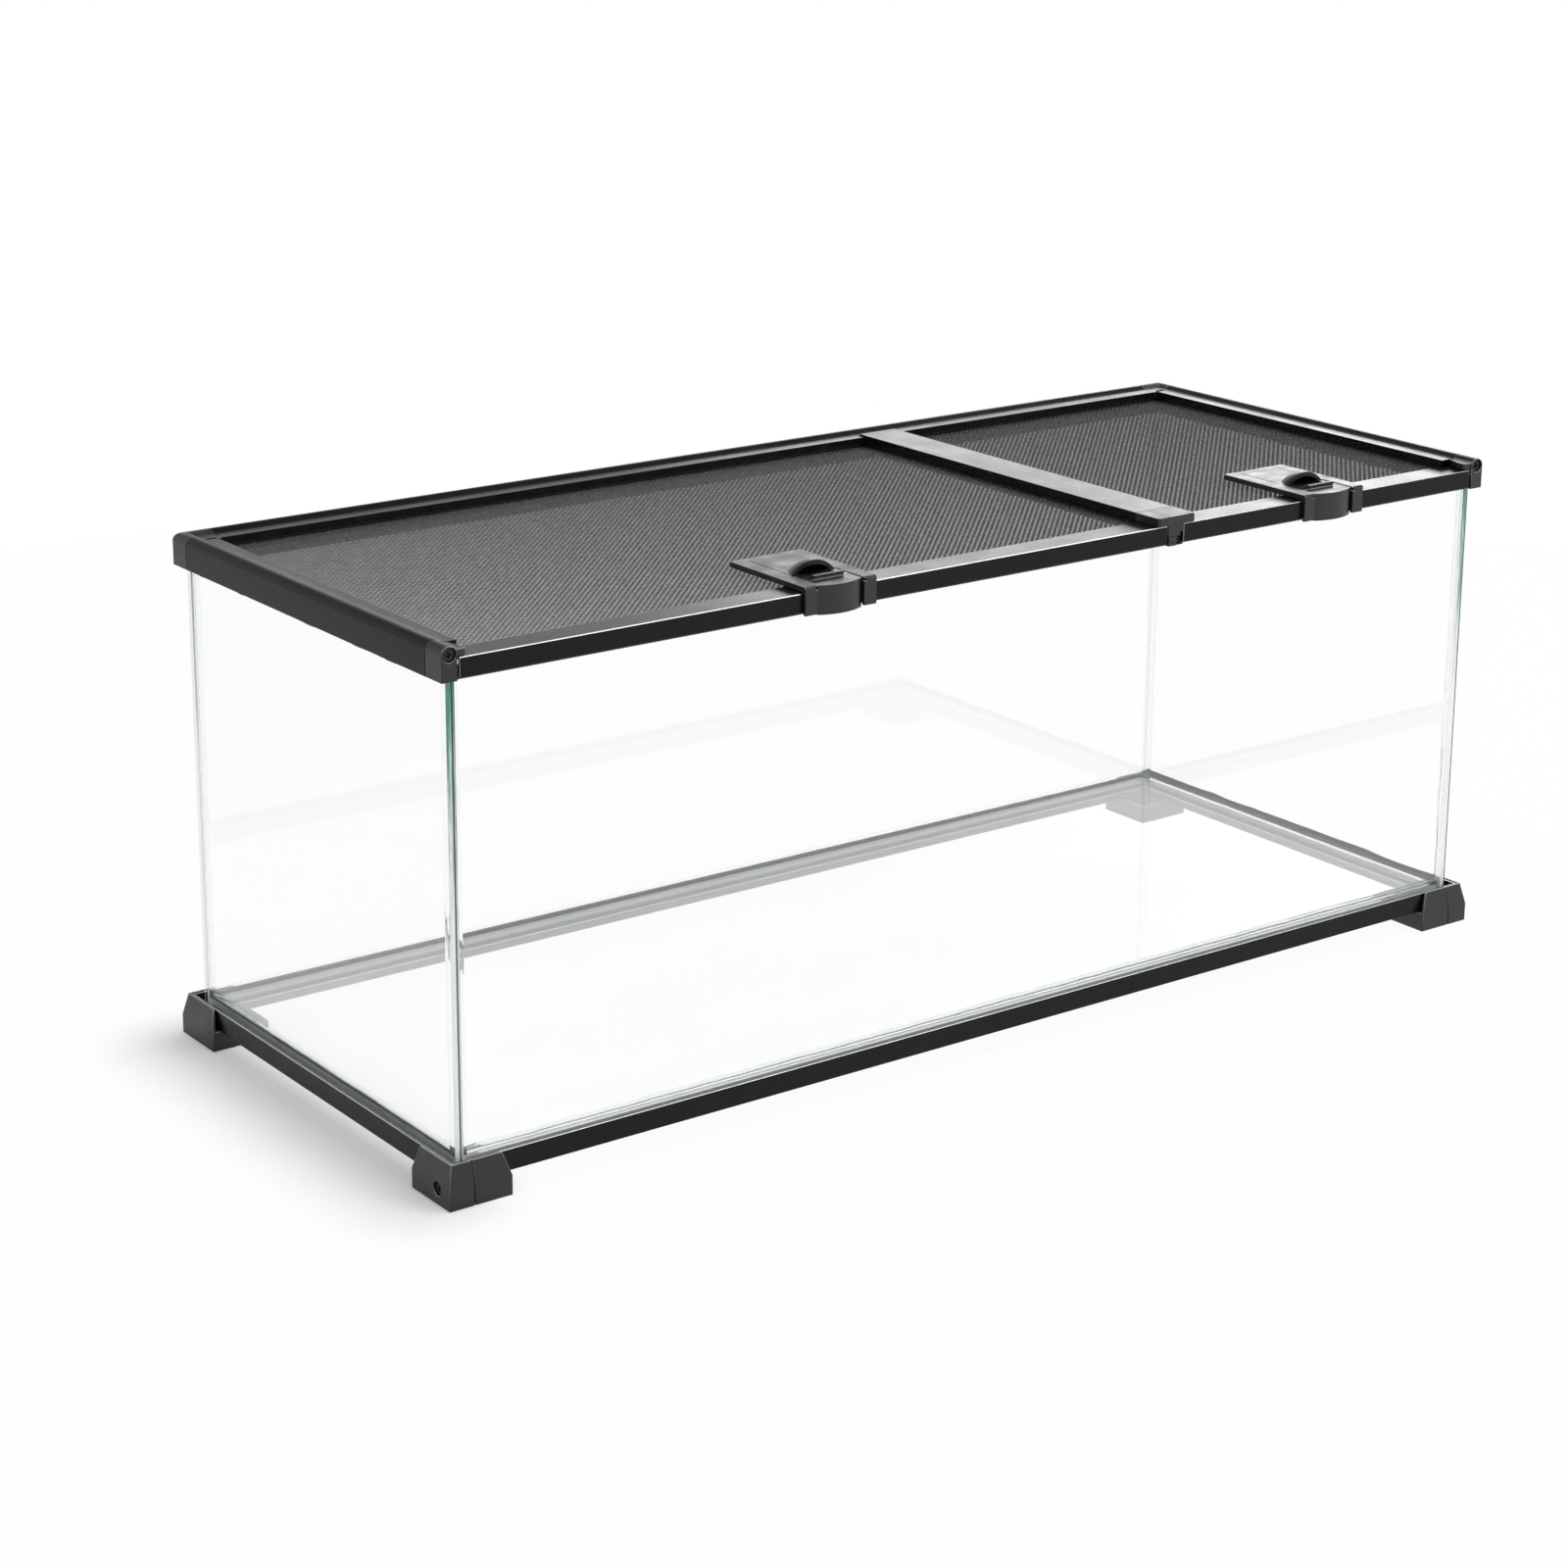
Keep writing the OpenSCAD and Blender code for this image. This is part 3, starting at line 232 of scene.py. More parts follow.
def dress(names, material, ease_mm, steps=2, edge=None, clamp=False):
    """Gives CAD nodes their finish and eases their edges; clamp eases less where sharp corners meet."""
    flat_within, sharp_from = math.radians(0.3), math.radians(32)
    for name in names:
        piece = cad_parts[name]
        piece.material_slots[0].material = material
        piece.modifiers.new("welded", "NODES").node_group = weld_group
        flat = piece.modifiers.new("flat_faces", "DECIMATE")
        flat.decimate_type, flat.angle_limit = "DISSOLVE", flat_within
        eased = piece.modifiers.new("eased_edges", "BEVEL")
        eased.width, eased.segments = ease_mm / 1000, steps
        eased.limit_method, eased.angle_limit = "ANGLE", sharp_from
        eased.harden_normals = True
        eased.use_clamp_overlap = clamp
        if edge:
            piece.data.materials.append(edge)
            eased.material = 1


def black_anodised(name, along):
    """Black anodised aluminium: a dyed and sealed oxide, satin, with die lines along one axis."""
    material, tree = new_material(name)
    place = add_node(tree, "ShaderNodeTexCoord")
    # die lines 0.25 mm apart and about 80 mm long, drawn no finer than they can show
    line_scale = [1 / 0.00025] * 3
    line_scale["xyz".index(along)] = 1 / 0.08
    drawn = add_node(tree, "ShaderNodeMapping", {
        "Vector": place.outputs["Object"], "Scale": line_scale}, vector_type="POINT")
    lines = add_node(tree, "ShaderNodeTexNoise", {"Vector": drawn.outputs[0], "Scale": 1.0, "Detail": 2.0})
    # handling marks, 25 mm across
    marks = add_node(tree, "ShaderNodeTexNoise", {
        "Vector": place.outputs["Object"], "Scale": 1 / 0.025, "Detail": 4.0, "Roughness": 0.6})
    colour = add_node(tree, "ShaderNodeMix", {
        0: marks.outputs[0], 6: linear("#0b0b0c"), 7: linear("#161617")}, data_type="RGBA")
    both = add_node(tree, "ShaderNodeMath", {
        0: lines.outputs[0], 1: marks.outputs[0]}, operation="ADD")
    rough = add_node(tree, "ShaderNodeMapRange", {
        "Value": both.outputs[0], "From Min": 0.6, "From Max": 1.4, "To Min": 0.2, "To Max": 0.34})
    relief = add_node(tree, "ShaderNodeBump", {
        "Height": lines.outputs[0], "Strength": 0.08, "Distance": 0.00003})
    shader = add_node(tree, "ShaderNodeBsdfPrincipled", {
        "Base Color": colour.outputs[2], "Roughness": rough.outputs[0], "Normal": relief.outputs[0],
        "Specular IOR Level": 0.16})
    add_node(tree, "ShaderNodeOutputMaterial", {"Surface": shader.outputs[0]})
    return material


def painted_highlight_aluminium_edge():
    """The extrusions' edges with a painted highlight: pale metal on those that look up, standing for the
    gleam of light.
    """
    material, tree = new_material("painted_highlight_edge_of_black_aluminium")
    place = add_node(tree, "ShaderNodeTexCoord")
    # the painted highlight brighter and dimmer, 18 mm across
    highlight_mottle = add_node(tree, "ShaderNodeTexNoise", {
        "Vector": place.outputs["Object"], "Scale": 1 / 0.018, "Detail": 3.0})
    colour = add_node(tree, "ShaderNodeMix", {
        0: highlight_mottle.outputs[0], 6: linear("#cfcfd1"), 7: linear("#f2f2f3")}, data_type="RGBA")
    bare_mesh_and_painted_gleam = add_node(tree, "ShaderNodeBsdfPrincipled", {
        "Base Color": colour.outputs[2], "Roughness": 0.24, "Metallic": 1.0})
    black = add_node(tree, "ShaderNodeBsdfPrincipled", {
        "Base Color": linear("#161617"), "Roughness": 0.3, "Specular IOR Level": 0.16})
    # edges that look up carry the full painted highlight, upright ones a quarter, and those that look down
    # stay black
    facing = add_node(tree, "ShaderNodeNewGeometry")
    facing = add_node(tree, "ShaderNodeSeparateXYZ", {0: facing.outputs["Normal"]})
    wear_and_highlight = add_node(tree, "ShaderNodeMapRange", {
        "Value": facing.outputs[2], "From Min": -0.1, "From Max": 0.3, "To Min": 0.0, "To Max": 1.0})
    whole = add_node(tree, "ShaderNodeMixShader", {
        0: wear_and_highlight.outputs[0], 1: black.outputs[0], 2: bare_mesh_and_painted_gleam.outputs[0]})
    add_node(tree, "ShaderNodeOutputMaterial", {"Surface": whole.outputs[0]})
    return material


# pale metal on the aluminium's upward edges, a painted highlight
aluminium_edge_highlight = painted_highlight_aluminium_edge()
anodised_x = black_anodised("black_anodised_aluminium_drawn_along_x", "x")
anodised_y = black_anodised("black_anodised_aluminium_drawn_along_y", "y")
# the rails' edges carry the painted highlight
dress(["base_front_rail", "base_rear_rail"], anodised_x, 0.35, 2, aluminium_edge_highlight)
dress(["base_left_rail", "base_right_rail"], anodised_y, 0.35, 2, aluminium_edge_highlight)

# ---- Corner feet ----
# Black ABS mouldings pushed over the rails' corners, from a lightly spark-eroded
# tool: a foot block and a side cap, which a black screw holds on the front feet.


def black_abs(name):
    """Black ABS from a spark-eroded tool: fine matt grain over a satin skin."""
    material, tree = new_material(name)
    place = add_node(tree, "ShaderNodeTexCoord")
    # grain of 0.3 mm, drawn twice as coarse as the tool's so that it shows
    grain = add_node(tree, "ShaderNodeTexNoise", {
        "Vector": place.outputs["Object"], "Scale": 1 / 0.0003, "Detail": 3.0, "Roughness": 0.55})
    # flow marks and rubbed places, 12 mm across
    wear_and_highlight = add_node(tree, "ShaderNodeTexNoise", {
        "Vector": place.outputs["Object"], "Scale": 1 / 0.012, "Detail": 3.0})
    colour = add_node(tree, "ShaderNodeMix", {
        0: wear_and_highlight.outputs[0], 6: linear("#121213"), 7: linear("#1e1e20")}, data_type="RGBA")
    rough = add_node(tree, "ShaderNodeMapRange", {
        "Value": wear_and_highlight.outputs[0], "From Min": 0.3, "From Max": 0.7, "To Min": 0.3, "To Max": 0.44})
    relief = add_node(tree, "ShaderNodeBump", {
        "Height": grain.outputs[0], "Strength": 0.2, "Distance": 0.00004})
    shader = add_node(tree, "ShaderNodeBsdfPrincipled", {
        "Base Color": colour.outputs[2], "Roughness": rough.outputs[0], "Normal": relief.outputs[0],
        "Specular IOR Level": 0.5})
    add_node(tree, "ShaderNodeOutputMaterial", {"Surface": shader.outputs[0]})
    return material


def painted_highlight_abs_edge():
    """The mouldings' edges, with a painted highlight of pale grey on those that look up."""
    material, tree = new_material("black_abs_painted_highlight_edge")
    place = add_node(tree, "ShaderNodeTexCoord")
    # the painted highlight brighter and dimmer, 10 mm across
    highlight_mottle = add_node(tree, "ShaderNodeTexNoise", {
        "Vector": place.outputs["Object"], "Scale": 1 / 0.01, "Detail": 3.0})
    colour = add_node(tree, "ShaderNodeMix", {
        0: highlight_mottle.outputs[0], 6: linear("#77777b"), 7: linear("#b2b2b6")}, data_type="RGBA")
    # only edges that look up get the pale painted highlight: upright ones and those that look down stay black
    facing = add_node(tree, "ShaderNodeNewGeometry")
    facing = add_node(tree, "ShaderNodeSeparateXYZ", {0: facing.outputs["Normal"]})
    wear_and_highlight = add_node(tree, "ShaderNodeMapRange", {
        "Value": facing.outputs[2], "From Min": 0.05, "From Max": 0.5, "To Min": 0.0, "To Max": 1.0})
    colour = add_node(tree, "ShaderNodeMix", {
        0: wear_and_highlight.outputs[0], 6: linear("#161617"), 7: colour.outputs[2]}, data_type="RGBA")
    shader = add_node(tree, "ShaderNodeBsdfPrincipled", {
        "Base Color": colour.outputs[2], "Roughness": 0.3, "Specular IOR Level": 0.5})
    add_node(tree, "ShaderNodeOutputMaterial", {"Surface": shader.outputs[0]})
    return material


abs_black = black_abs("black_abs_spark_eroded")
# the pale upward edges of the ABS mouldings are a painted highlight
abs_edge_highlight = painted_highlight_abs_edge()
front_corners, rear_corners = ("front_left", "front_right"), ("rear_left", "rear_right")
for corner in front_corners + rear_corners:
    dress(["foot_block_" + corner, "foot_cap_" + corner], abs_black, 0.5, 2, abs_edge_highlight)


def zinc(name, low, high):
    """Zinc-plated steel screws: a thin passivated metal skin, clouded by the plating bath."""
    material, tree = new_material(name)
    place = add_node(tree, "ShaderNodeTexCoord")
    # clouds 0.8 mm across
    cloud = add_node(tree, "ShaderNodeTexNoise", {
        "Vector": place.outputs["Object"], "Scale": 1 / 0.0008, "Detail": 3.0})
    colour = add_node(tree, "ShaderNodeMix", {
        0: cloud.outputs[0], 6: linear(low), 7: linear(high)}, data_type="RGBA")
    rough = add_node(tree, "ShaderNodeMapRange", {
        "Value": cloud.outputs[0], "From Min": 0.3, "From Max": 0.7, "To Min": 0.28, "To Max": 0.42})
    shader = add_node(tree, "ShaderNodeBsdfPrincipled", {
        "Base Color": colour.outputs[2], "Roughness": rough.outputs[0], "Metallic": 1.0})
    add_node(tree, "ShaderNodeOutputMaterial", {"Surface": shader.outputs[0]})
    return material


zinc_black = zinc("black_zinc_plated_steel", "#2b2b2e", "#3c3c40")
dress(["foot_screws"], zinc_black, 0.25)

# ---- Glass panes ----
# Clear float glass, 4 mm walls and a 5 mm floor. The faces are almost free of
# colour, and the ground edges show the iron in the glass as blue-green.


def float_glass(name, across, haze):
    """Clear float glass, its edges ground: across is the axis through it, haze its share of wiped dust."""
    material, tree = new_material(name)
    place = add_node(tree, "ShaderNodeTexCoord")
    face = add_node(tree, "ShaderNodeNewGeometry")
    # the ground edges are the faces that look neither through the pane nor up or down
    normal = add_node(tree, "ShaderNodeSeparateXYZ", {0: face.outputs["True Normal"]})
    through = add_node(tree, "ShaderNodeMath", {0: normal.outputs["xyz".index(across)]}, operation="ABSOLUTE")
    sideways = add_node(tree, "ShaderNodeMath", {0: through.outputs[0], 1: 0.9}, operation="LESS_THAN")
    level = add_node(tree, "ShaderNodeMath", {0: normal.outputs[2]}, operation="ABSOLUTE")
    upright = add_node(tree, "ShaderNodeMath", {0: level.outputs[0], 1: 0.5}, operation="LESS_THAN")
    ground = add_node(tree, "ShaderNodeMath", {
        0: sideways.outputs[0], 1: upright.outputs[0]}, operation="MULTIPLY")
    # wheel marks of the ground edge, 0.2 mm
    wheel = add_node(tree, "ShaderNodeTexNoise", {
        "Vector": place.outputs["Object"], "Scale": 1 / 0.0002, "Detail": 2.0})
    frost = add_node(tree, "ShaderNodeMix", {
        0: wheel.outputs[0], 6: linear("#f2f9f6"), 7: linear("#ffffff")}, data_type="RGBA")
    # towards the top the cut is cleaner and shows the glass's own blue-green, in streaks 25 mm long
    streaks = add_node(tree, "ShaderNodeMapping", {
        "Vector": place.outputs["Object"], "Scale": (1 / 0.0012, 1 / 0.0012, 1 / 0.025)}, vector_type="POINT")
    streaks = add_node(tree, "ShaderNodeTexNoise", {
        "Vector": streaks.outputs[0], "Scale": 1.0, "Detail": 3.0})
    spot = add_node(tree, "ShaderNodeSeparateXYZ", {0: face.outputs["Position"]})
    height = add_node(tree, "ShaderNodeMapRange", {
        "Value": spot.outputs[2], "From Min": 0.1, "From Max": 0.29, "To Min": -0.45, "To Max": 0.35})
    clean = add_node(tree, "ShaderNodeMath", {0: streaks.outputs[0], 1: height.outputs[0]}, operation="ADD")
    clean = add_node(tree, "ShaderNodeMapRange", {
        "Value": clean.outputs[0], "From Min": 0.35, "From Max": 0.75, "To Min": 0.0, "To Max": 1.0})
    cut = add_node(tree, "ShaderNodeMix", {
        0: clean.outputs[0], 6: frost.outputs[2], 7: linear("#4f947f")}, data_type="RGBA")
    if across == "x":
        # the right-hand 1.3 mm of a side pane's end is painted dark, a painted shade for the joint that one
        # looks into behind it
        dark_from, dark_full = 0.0014, 0.0011
        left_dark, right_dark = [add_node(tree, "ShaderNodeMapRange", {
            "Value": spot.outputs[0], "From Min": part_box(side_pane)[1].x - dark_from,
            "From Max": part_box(side_pane)[1].x - dark_full, "To Min": 0.0, "To Max": 1.0})
            for side_pane in ("left_glass", "right_glass")]
        left_half = add_node(tree, "ShaderNodeMath", {0: spot.outputs[0], 1: 0.0}, operation="LESS_THAN")
        painted_joint_shade = add_node(tree, "ShaderNodeMath", {
            0: left_dark.outputs[0], 1: left_half.outputs[0]}, operation="MULTIPLY")
        painted_joint_shade = add_node(tree, "ShaderNodeMath", {
            0: painted_joint_shade.outputs[0], 1: right_dark.outputs[0]}, operation="MAXIMUM")
        painted_joint_shade = add_node(tree, "ShaderNodeMath", {0: painted_joint_shade.outputs[0], 1: 0.95}, operation="MULTIPLY")
        cut = add_node(tree, "ShaderNodeMix", {
            0: painted_joint_shade.outputs[0], 6: cut.outputs[2], 7: linear("#101816")}, data_type="RGBA")
    matt = add_node(tree, "ShaderNodeBsdfPrincipled", {"Base Color": cut.outputs[2], "Roughness": 0.35})
    inner = add_node(tree, "ShaderNodeBsdfTransparent", {"Color": linear("#fefefe")})
    if across == "z":
        # the floor pane is drawn without its refraction, so that its edges show the white under the tank
        front = add_node(tree, "ShaderNodeMath", {
            0: 1.0, 1: face.outputs["Backfacing"]}, operation="SUBTRACT")
        mirror = add_node(tree, "ShaderNodeFresnel", {"IOR": 1.52})
        mirror = add_node(tree, "ShaderNodeMath", {
            0: mirror.outputs[0], 1: front.outputs[0]}, operation="MULTIPLY")
        gloss = add_node(tree, "ShaderNodeBsdfGlossy", {"Color": linear("#ffffff"), "Roughness": 0.02})
        clear = add_node(tree, "ShaderNodeMixShader", {
            0: mirror.outputs[0], 1: inner.outputs[0], 2: gloss.outputs[0]})
        edge = add_node(tree, "ShaderNodeMixShader", {0: 0.75, 1: matt.outputs[0], 2: inner.outputs[0]})
    else:
        clear = add_node(tree, "ShaderNodeBsdfPrincipled", {
            "Base Color": linear("#ffffff"), "Roughness": 0.0, "IOR": 1.52, "Transmission Weight": 1.0})
        # looked at from inside the pane, the ground end lets the room's light in
        let_in = add_node(tree, "ShaderNodeMath", {
            0: face.outputs["Backfacing"], 1: 0.8}, operation="MULTIPLY")
        edge = add_node(tree, "ShaderNodeMixShader", {
            0: let_in.outputs[0], 1: matt.outputs[0], 2: inner.outputs[0]})
    pane = add_node(tree, "ShaderNodeMixShader", {
        0: ground.outputs[0], 1: clear.outputs[0], 2: edge.outputs[0]})
    # dust wiped into faint clouds, 90 mm across
    clouds = add_node(tree, "ShaderNodeTexNoise", {
        "Vector": place.outputs["Object"], "Scale": 1 / 0.09, "Detail": 1.0})
    dusty = add_node(tree, "ShaderNodeMapRange", {
        "Value": clouds.outputs[0], "From Min": 0.35, "From Max": 0.65, "To Min": haze * 0.9, "To Max": haze})
    dust = add_node(tree, "ShaderNodeBsdfDiffuse", {"Color": linear("#fbfcfc")})
    pane = add_node(tree, "ShaderNodeMixShader", {
        0: dusty.outputs[0], 1: pane.outputs[0], 2: dust.outputs[0]})
    # lamps shine through the pane, as clear glass lets them
    path = add_node(tree, "ShaderNodeLightPath")
    lit = add_node(tree, "ShaderNodeBsdfTransparent", {"Color": linear("#fafdfc")})
    whole = add_node(tree, "ShaderNodeMixShader", {
        0: path.outputs["Is Shadow Ray"], 1: pane.outputs[0], 2: lit.outputs[0]})
    add_node(tree, "ShaderNodeOutputMaterial", {"Surface": whole.outputs[0]})
    return material


# shares of wiped dust, and the width in mm of the edges taken off by the grinding belt
walls_haze, floor_haze, arris = 0.01, 0.16, 0.4
dress(["left_glass", "right_glass"], float_glass("clear_float_glass_across_x", "x", walls_haze), arris, 1)
dress(["front_glass", "rear_glass"], float_glass("clear_float_glass_across_y", "y", walls_haze), arris, 1)
dress(["bottom_glass"], float_glass("clear_float_glass_across_z", "z", floor_haze), arris, 1)

# ---- Silicone ----
# Clear acetoxy silicone, gunned into the inner corners and tooled with a
# finger: hollow fillets whose width wanders a little, and bonds in the joints.


def clear_silicone():
    """Cured clear silicone: soft gloss, a trace of milk, and ripples from tooling."""
    material, tree = new_material("clear_silicone")
    place = add_node(tree, "ShaderNodeTexCoord")
    # ripples 6 mm across, from tooling
    ripple = add_node(tree, "ShaderNodeTexNoise", {
        "Vector": place.outputs["Object"], "Scale": 1 / 0.006, "Detail": 2.0})
    relief = add_node(tree, "ShaderNodeBump", {
        "Height": ripple.outputs[0], "Strength": 0.4, "Distance": 0.0003})
    gel = add_node(tree, "ShaderNodeBsdfPrincipled", {
        "Base Color": linear("#fcfdfd"), "Roughness": 0.06, "IOR": 1.06, "Transmission Weight": 0.97,
        "Normal": relief.outputs[0]})
    path = add_node(tree, "ShaderNodeLightPath")
    lit = add_node(tree, "ShaderNodeBsdfTransparent", {"Color": linear("#f8fafa")})
    whole = add_node(tree, "ShaderNodeMixShader", {
        0: path.outputs["Is Shadow Ray"], 1: gel.outputs[0], 2: lit.outputs[0]})
    add_node(tree, "ShaderNodeOutputMaterial", {"Surface": whole.outputs[0]})
    return material


def mesh_piece(name, points, faces, material, smooth=True):
    """A new mesh object from its points and faces."""
    mesh = bpy.data.meshes.new(name)
    mesh.from_pydata(points, [], faces)
    mesh.materials.append(material)
    mesh.polygons.foreach_set("use_smooth", [smooth] * len(mesh.polygons))
    piece = bpy.data.objects.new(name, mesh)
    scene.collection.objects.link(piece)
    return piece


def tooled_fillet(points, faces, start, end, side_a, side_b, reach):
    """One hollow fillet from start to end in the corner of two walls, which lie along side_a and side_b."""
    skin, ring_step, arc_steps = 0.00005, 0.004, 7
    rings = max(2, round((end - start).length / ring_step))
    first = len(points)
    for i in range(rings + 1):
        middle = start.lerp(end, i / rings)
        # the finger's pressure varies over about 22 mm, and its skips are about 7 mm long
        wander = noise.noise(middle * 45) * 0.16 + noise.noise(middle * 140) * 0.07
        r = reach * (1 + wander)
        section = [(skin, skin)]
        for k in range(arc_steps + 1):
            turn = math.radians(90) * k / arc_steps
            section.append((max(skin, r - r * math.sin(turn)), max(skin, r - r * math.cos(turn))))
        points.extend(middle + side_a * a + side_b * b for a, b in section)
    around = arc_steps + 2
    for i in range(rings):
        for k in range(around):
            a, b = first + i * around + k, first + i * around + (k + 1) % around
            faces.append((a, b, b + around, a + around))
    faces.append(tuple(range(first + around - 1, first - 1, -1)))
    faces.append(tuple(range(first + rings * around, first + (rings + 1) * around)))


upright_reach, floor_reach = 0.0045, 0.005
floor_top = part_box("bottom_glass")[1].z
west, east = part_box("left_glass")[1].x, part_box("right_glass")[0].x
south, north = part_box("front_glass")[1].y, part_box("rear_glass")[0].y
# the upright fillets end 0.2 mm under the top frame
frame_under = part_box("top_left_rail")[0].z - 0.0002
x_axis, y_axis, z_axis = Vector((1, 0, 0)), Vector((0, 1, 0)), Vector((0, 0, 1))
fillet_points, fillet_faces = [], []
for wall_x, turn_x in ((west, 1), (east, -1)):
    for wall_y, turn_y in ((south, 1), (north, -1)):
        tooled_fillet(fillet_points, fillet_faces, Vector((wall_x, wall_y, floor_top)),
            Vector((wall_x, wall_y, frame_under)), x_axis * turn_x, y_axis * turn_y, upright_reach)
for wall_x, turn_x in ((west, 1), (east, -1)):
    tooled_fillet(fillet_points, fillet_faces, Vector((wall_x, south, floor_top)),
        Vector((wall_x, north, floor_top)), x_axis * turn_x, z_axis, floor_reach)
for wall_y, turn_y in ((south, 1), (north, -1)):
    tooled_fillet(fillet_points, fillet_faces, Vector((west, wall_y, floor_top)),
        Vector((east, wall_y, floor_top)), y_axis * turn_y, z_axis, floor_reach)


def bond(points, faces, a, b):
    """The flat strip of silicone in a joint, a hair inside the gap between corners a and b."""
    skin = 0.00003
    low = [min(a[k], b[k]) + skin for k in range(3)]
    high = [max(a[k], b[k]) - skin for k in range(3)]
    first = len(points)
    points.extend((x, y, z) for z in (low[2], high[2]) for y in (low[1], high[1]) for x in (low[0], high[0]))
    for face in ((0, 2, 3, 1), (4, 5, 7, 6), (0, 1, 5, 4), (2, 6, 7, 3), (0, 4, 6, 2), (1, 3, 7, 5)):
        faces.append(tuple(first + k for k in face))


strip_points, strip_faces = [], []
floor_low, floor_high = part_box("bottom_glass")
for pane in ("front_glass", "rear_glass"):
    low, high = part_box(pane)
    bond(strip_points, strip_faces, (west, low.y, low.z), (low.x, high.y, high.z))
    bond(strip_points, strip_faces, (east, low.y, low.z), (high.x, high.y, high.z))
bond(strip_points, strip_faces, (floor_low.x, south, floor_low.z), (floor_high.x, floor_low.y, floor_high.z))
bond(strip_points, strip_faces, (floor_low.x, north, floor_low.z), (floor_high.x, floor_high.y, floor_high.z))
bond(strip_points, strip_faces, (west, south, floor_low.z), (floor_low.x, north, floor_high.z))
bond(strip_points, strip_faces, (east, south, floor_low.z), (floor_high.x, north, floor_high.z))
silicone = clear_silicone()
for name, points, faces, smooth in (
        ("silicone_fillets", fillet_points, fillet_faces, True),
        ("silicone_bonds", strip_points, strip_faces, False)):
    seam = mesh_piece(name, points, faces, silicone, smooth)
    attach(seam, "tank")
    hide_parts("silicone_seams")

# ---- Top frame ----
# Black anodised extrusions bonded over the panes: bead, hollow slope and lip
# at the rear and the sides, and a low sill under the lids at the front.
dress(["top_rear_rail", "top_front_sill"], anodised_x, 0.3)
dress(["top_left_rail", "top_right_rail"], anodised_y, 0.3)

# ---- Squeezed silicone ----
# The black silicone that bonds the side rails of the top frame to the panes:
# some of it was pressed out under them and hangs on the glass as an uneven lip.


def black_silicone():
    """Cured black silicone: a soft gloss, and paler where a finger or a tool has smeared it."""
    material, tree = new_material("black_silicone")
    place = add_node(tree, "ShaderNodeTexCoord")
    # smears 5 mm across
    smear = add_node(tree, "ShaderNodeTexNoise", {
        "Vector": place.outputs["Object"], "Scale": 1 / 0.005, "Detail": 3.0})
    colour = add_node(tree, "ShaderNodeMix", {
        0: smear.outputs[0], 6: linear("#18181a"), 7: linear("#3a3a3d")}, data_type="RGBA")
    shader = add_node(tree, "ShaderNodeBsdfPrincipled", {
        "Base Color": colour.outputs[2], "Roughness": 0.3, "IOR": 1.41})
    add_node(tree, "ShaderNodeOutputMaterial", {"Surface": shader.outputs[0]})
    return material


def squeezed_lip(points, faces, start, end, outward):
    """One lip from start to end, along the line where the pane runs up under the rail."""
    skin, ring_step, around = 0.00003, 0.002, 5
    least_drop, more_drop = 0.0003, 0.0016
    usual_width, more_width, most_width = 0.0036, 0.0012, 0.0048
    rings = round((end - start).length / ring_step)
    first = len(points)
    for i in range(rings + 1):
        middle = start.lerp(end, i / rings)
        # swellings about 17 mm long, with smaller ones of about 5 mm on them
        swell = max(0.0, 0.4 + noise.noise(middle * 60) * 0.9 + noise.noise(middle * 210) * 0.35)
        drop = least_drop + more_drop * swell
        width = min(most_width, usual_width + more_width * swell)
        section = (
            (skin, 0), (width, 0), (width * 0.9, drop * 0.55), (width * 0.45, drop), (skin, drop * 1.1))
        points.extend(middle + outward * out - z_axis * (down + skin) for out, down in section)
    for i in range(rings):
        for k in range(around):
            a, b = first + i * around + k, first + i * around + (k + 1) % around
            faces.append((b, a, a + around, b + around))
    faces.append(tuple(range(first, first + around)))
    faces.append(tuple(range(first + (rings + 1) * around - 1, first + rings * around - 1, -1)))


lip_points, lip_faces = [], []
rail_low, rail_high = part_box("top_left_rail")
for wall_x, turn in ((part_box("left_glass")[0].x, -1), (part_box("right_glass")[1].x, 1)):
    squeezed_lip(lip_points, lip_faces, Vector((wall_x, rail_low.y, rail_low.z)),
        Vector((wall_x, rail_high.y, rail_low.z)), x_axis * turn)
sealant = mesh_piece("squeezed_black_silicone", lip_points, lip_faces, black_silicone())
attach(sealant, "tank")

# ---- Corner connectors ----
# Black ABS mouldings that plug into the rails' ends and carry on the bead, each
# held by a black cross-recessed screw into the port in the bead.
dress(["corner_" + corner for corner in front_corners], abs_black, 0.4, 2, abs_edge_highlight)
# the rear ones have sharp points where their mitres meet, which a wider ease would run past
dress(["corner_" + corner for corner in rear_corners], abs_black, 0.15, 1, abs_edge_highlight)
dress(["corner_screws"], zinc_black, 0.25)

# ---- Crossbar ----
# A black anodised T extrusion from rear to front between the lids, closed at
# the front by a black ABS cap with a small L-shaped window.
dress(["crossbar"], anodised_y, 0.35)
dress(["crossbar_front_cap"], abs_black, 0.25, 2, abs_edge_highlight, clamp=True)

# ---- Lid frames ----
# Thin black anodised extrusions: an angle profile in front, with a painted highlight
# along its edges, and three flat bars that hold the screen and run under the lips.
for lid in ("left_lid_", "right_lid_"):
    dress([lid + "front_profile"], anodised_x, 0.5, 3, aluminium_edge_highlight)
    dress([lid + "rear_bar"], anodised_x, 0.35)
    dress([lid + "outer_bar", lid + "inner_bar"], anodised_y, 0.3)

# ---- Screens ----
# Plain-woven aluminium wire cloth, coated black: 0.39 mm wire, 2 mm from wire to
# wire, each wire passing over one and under the next.


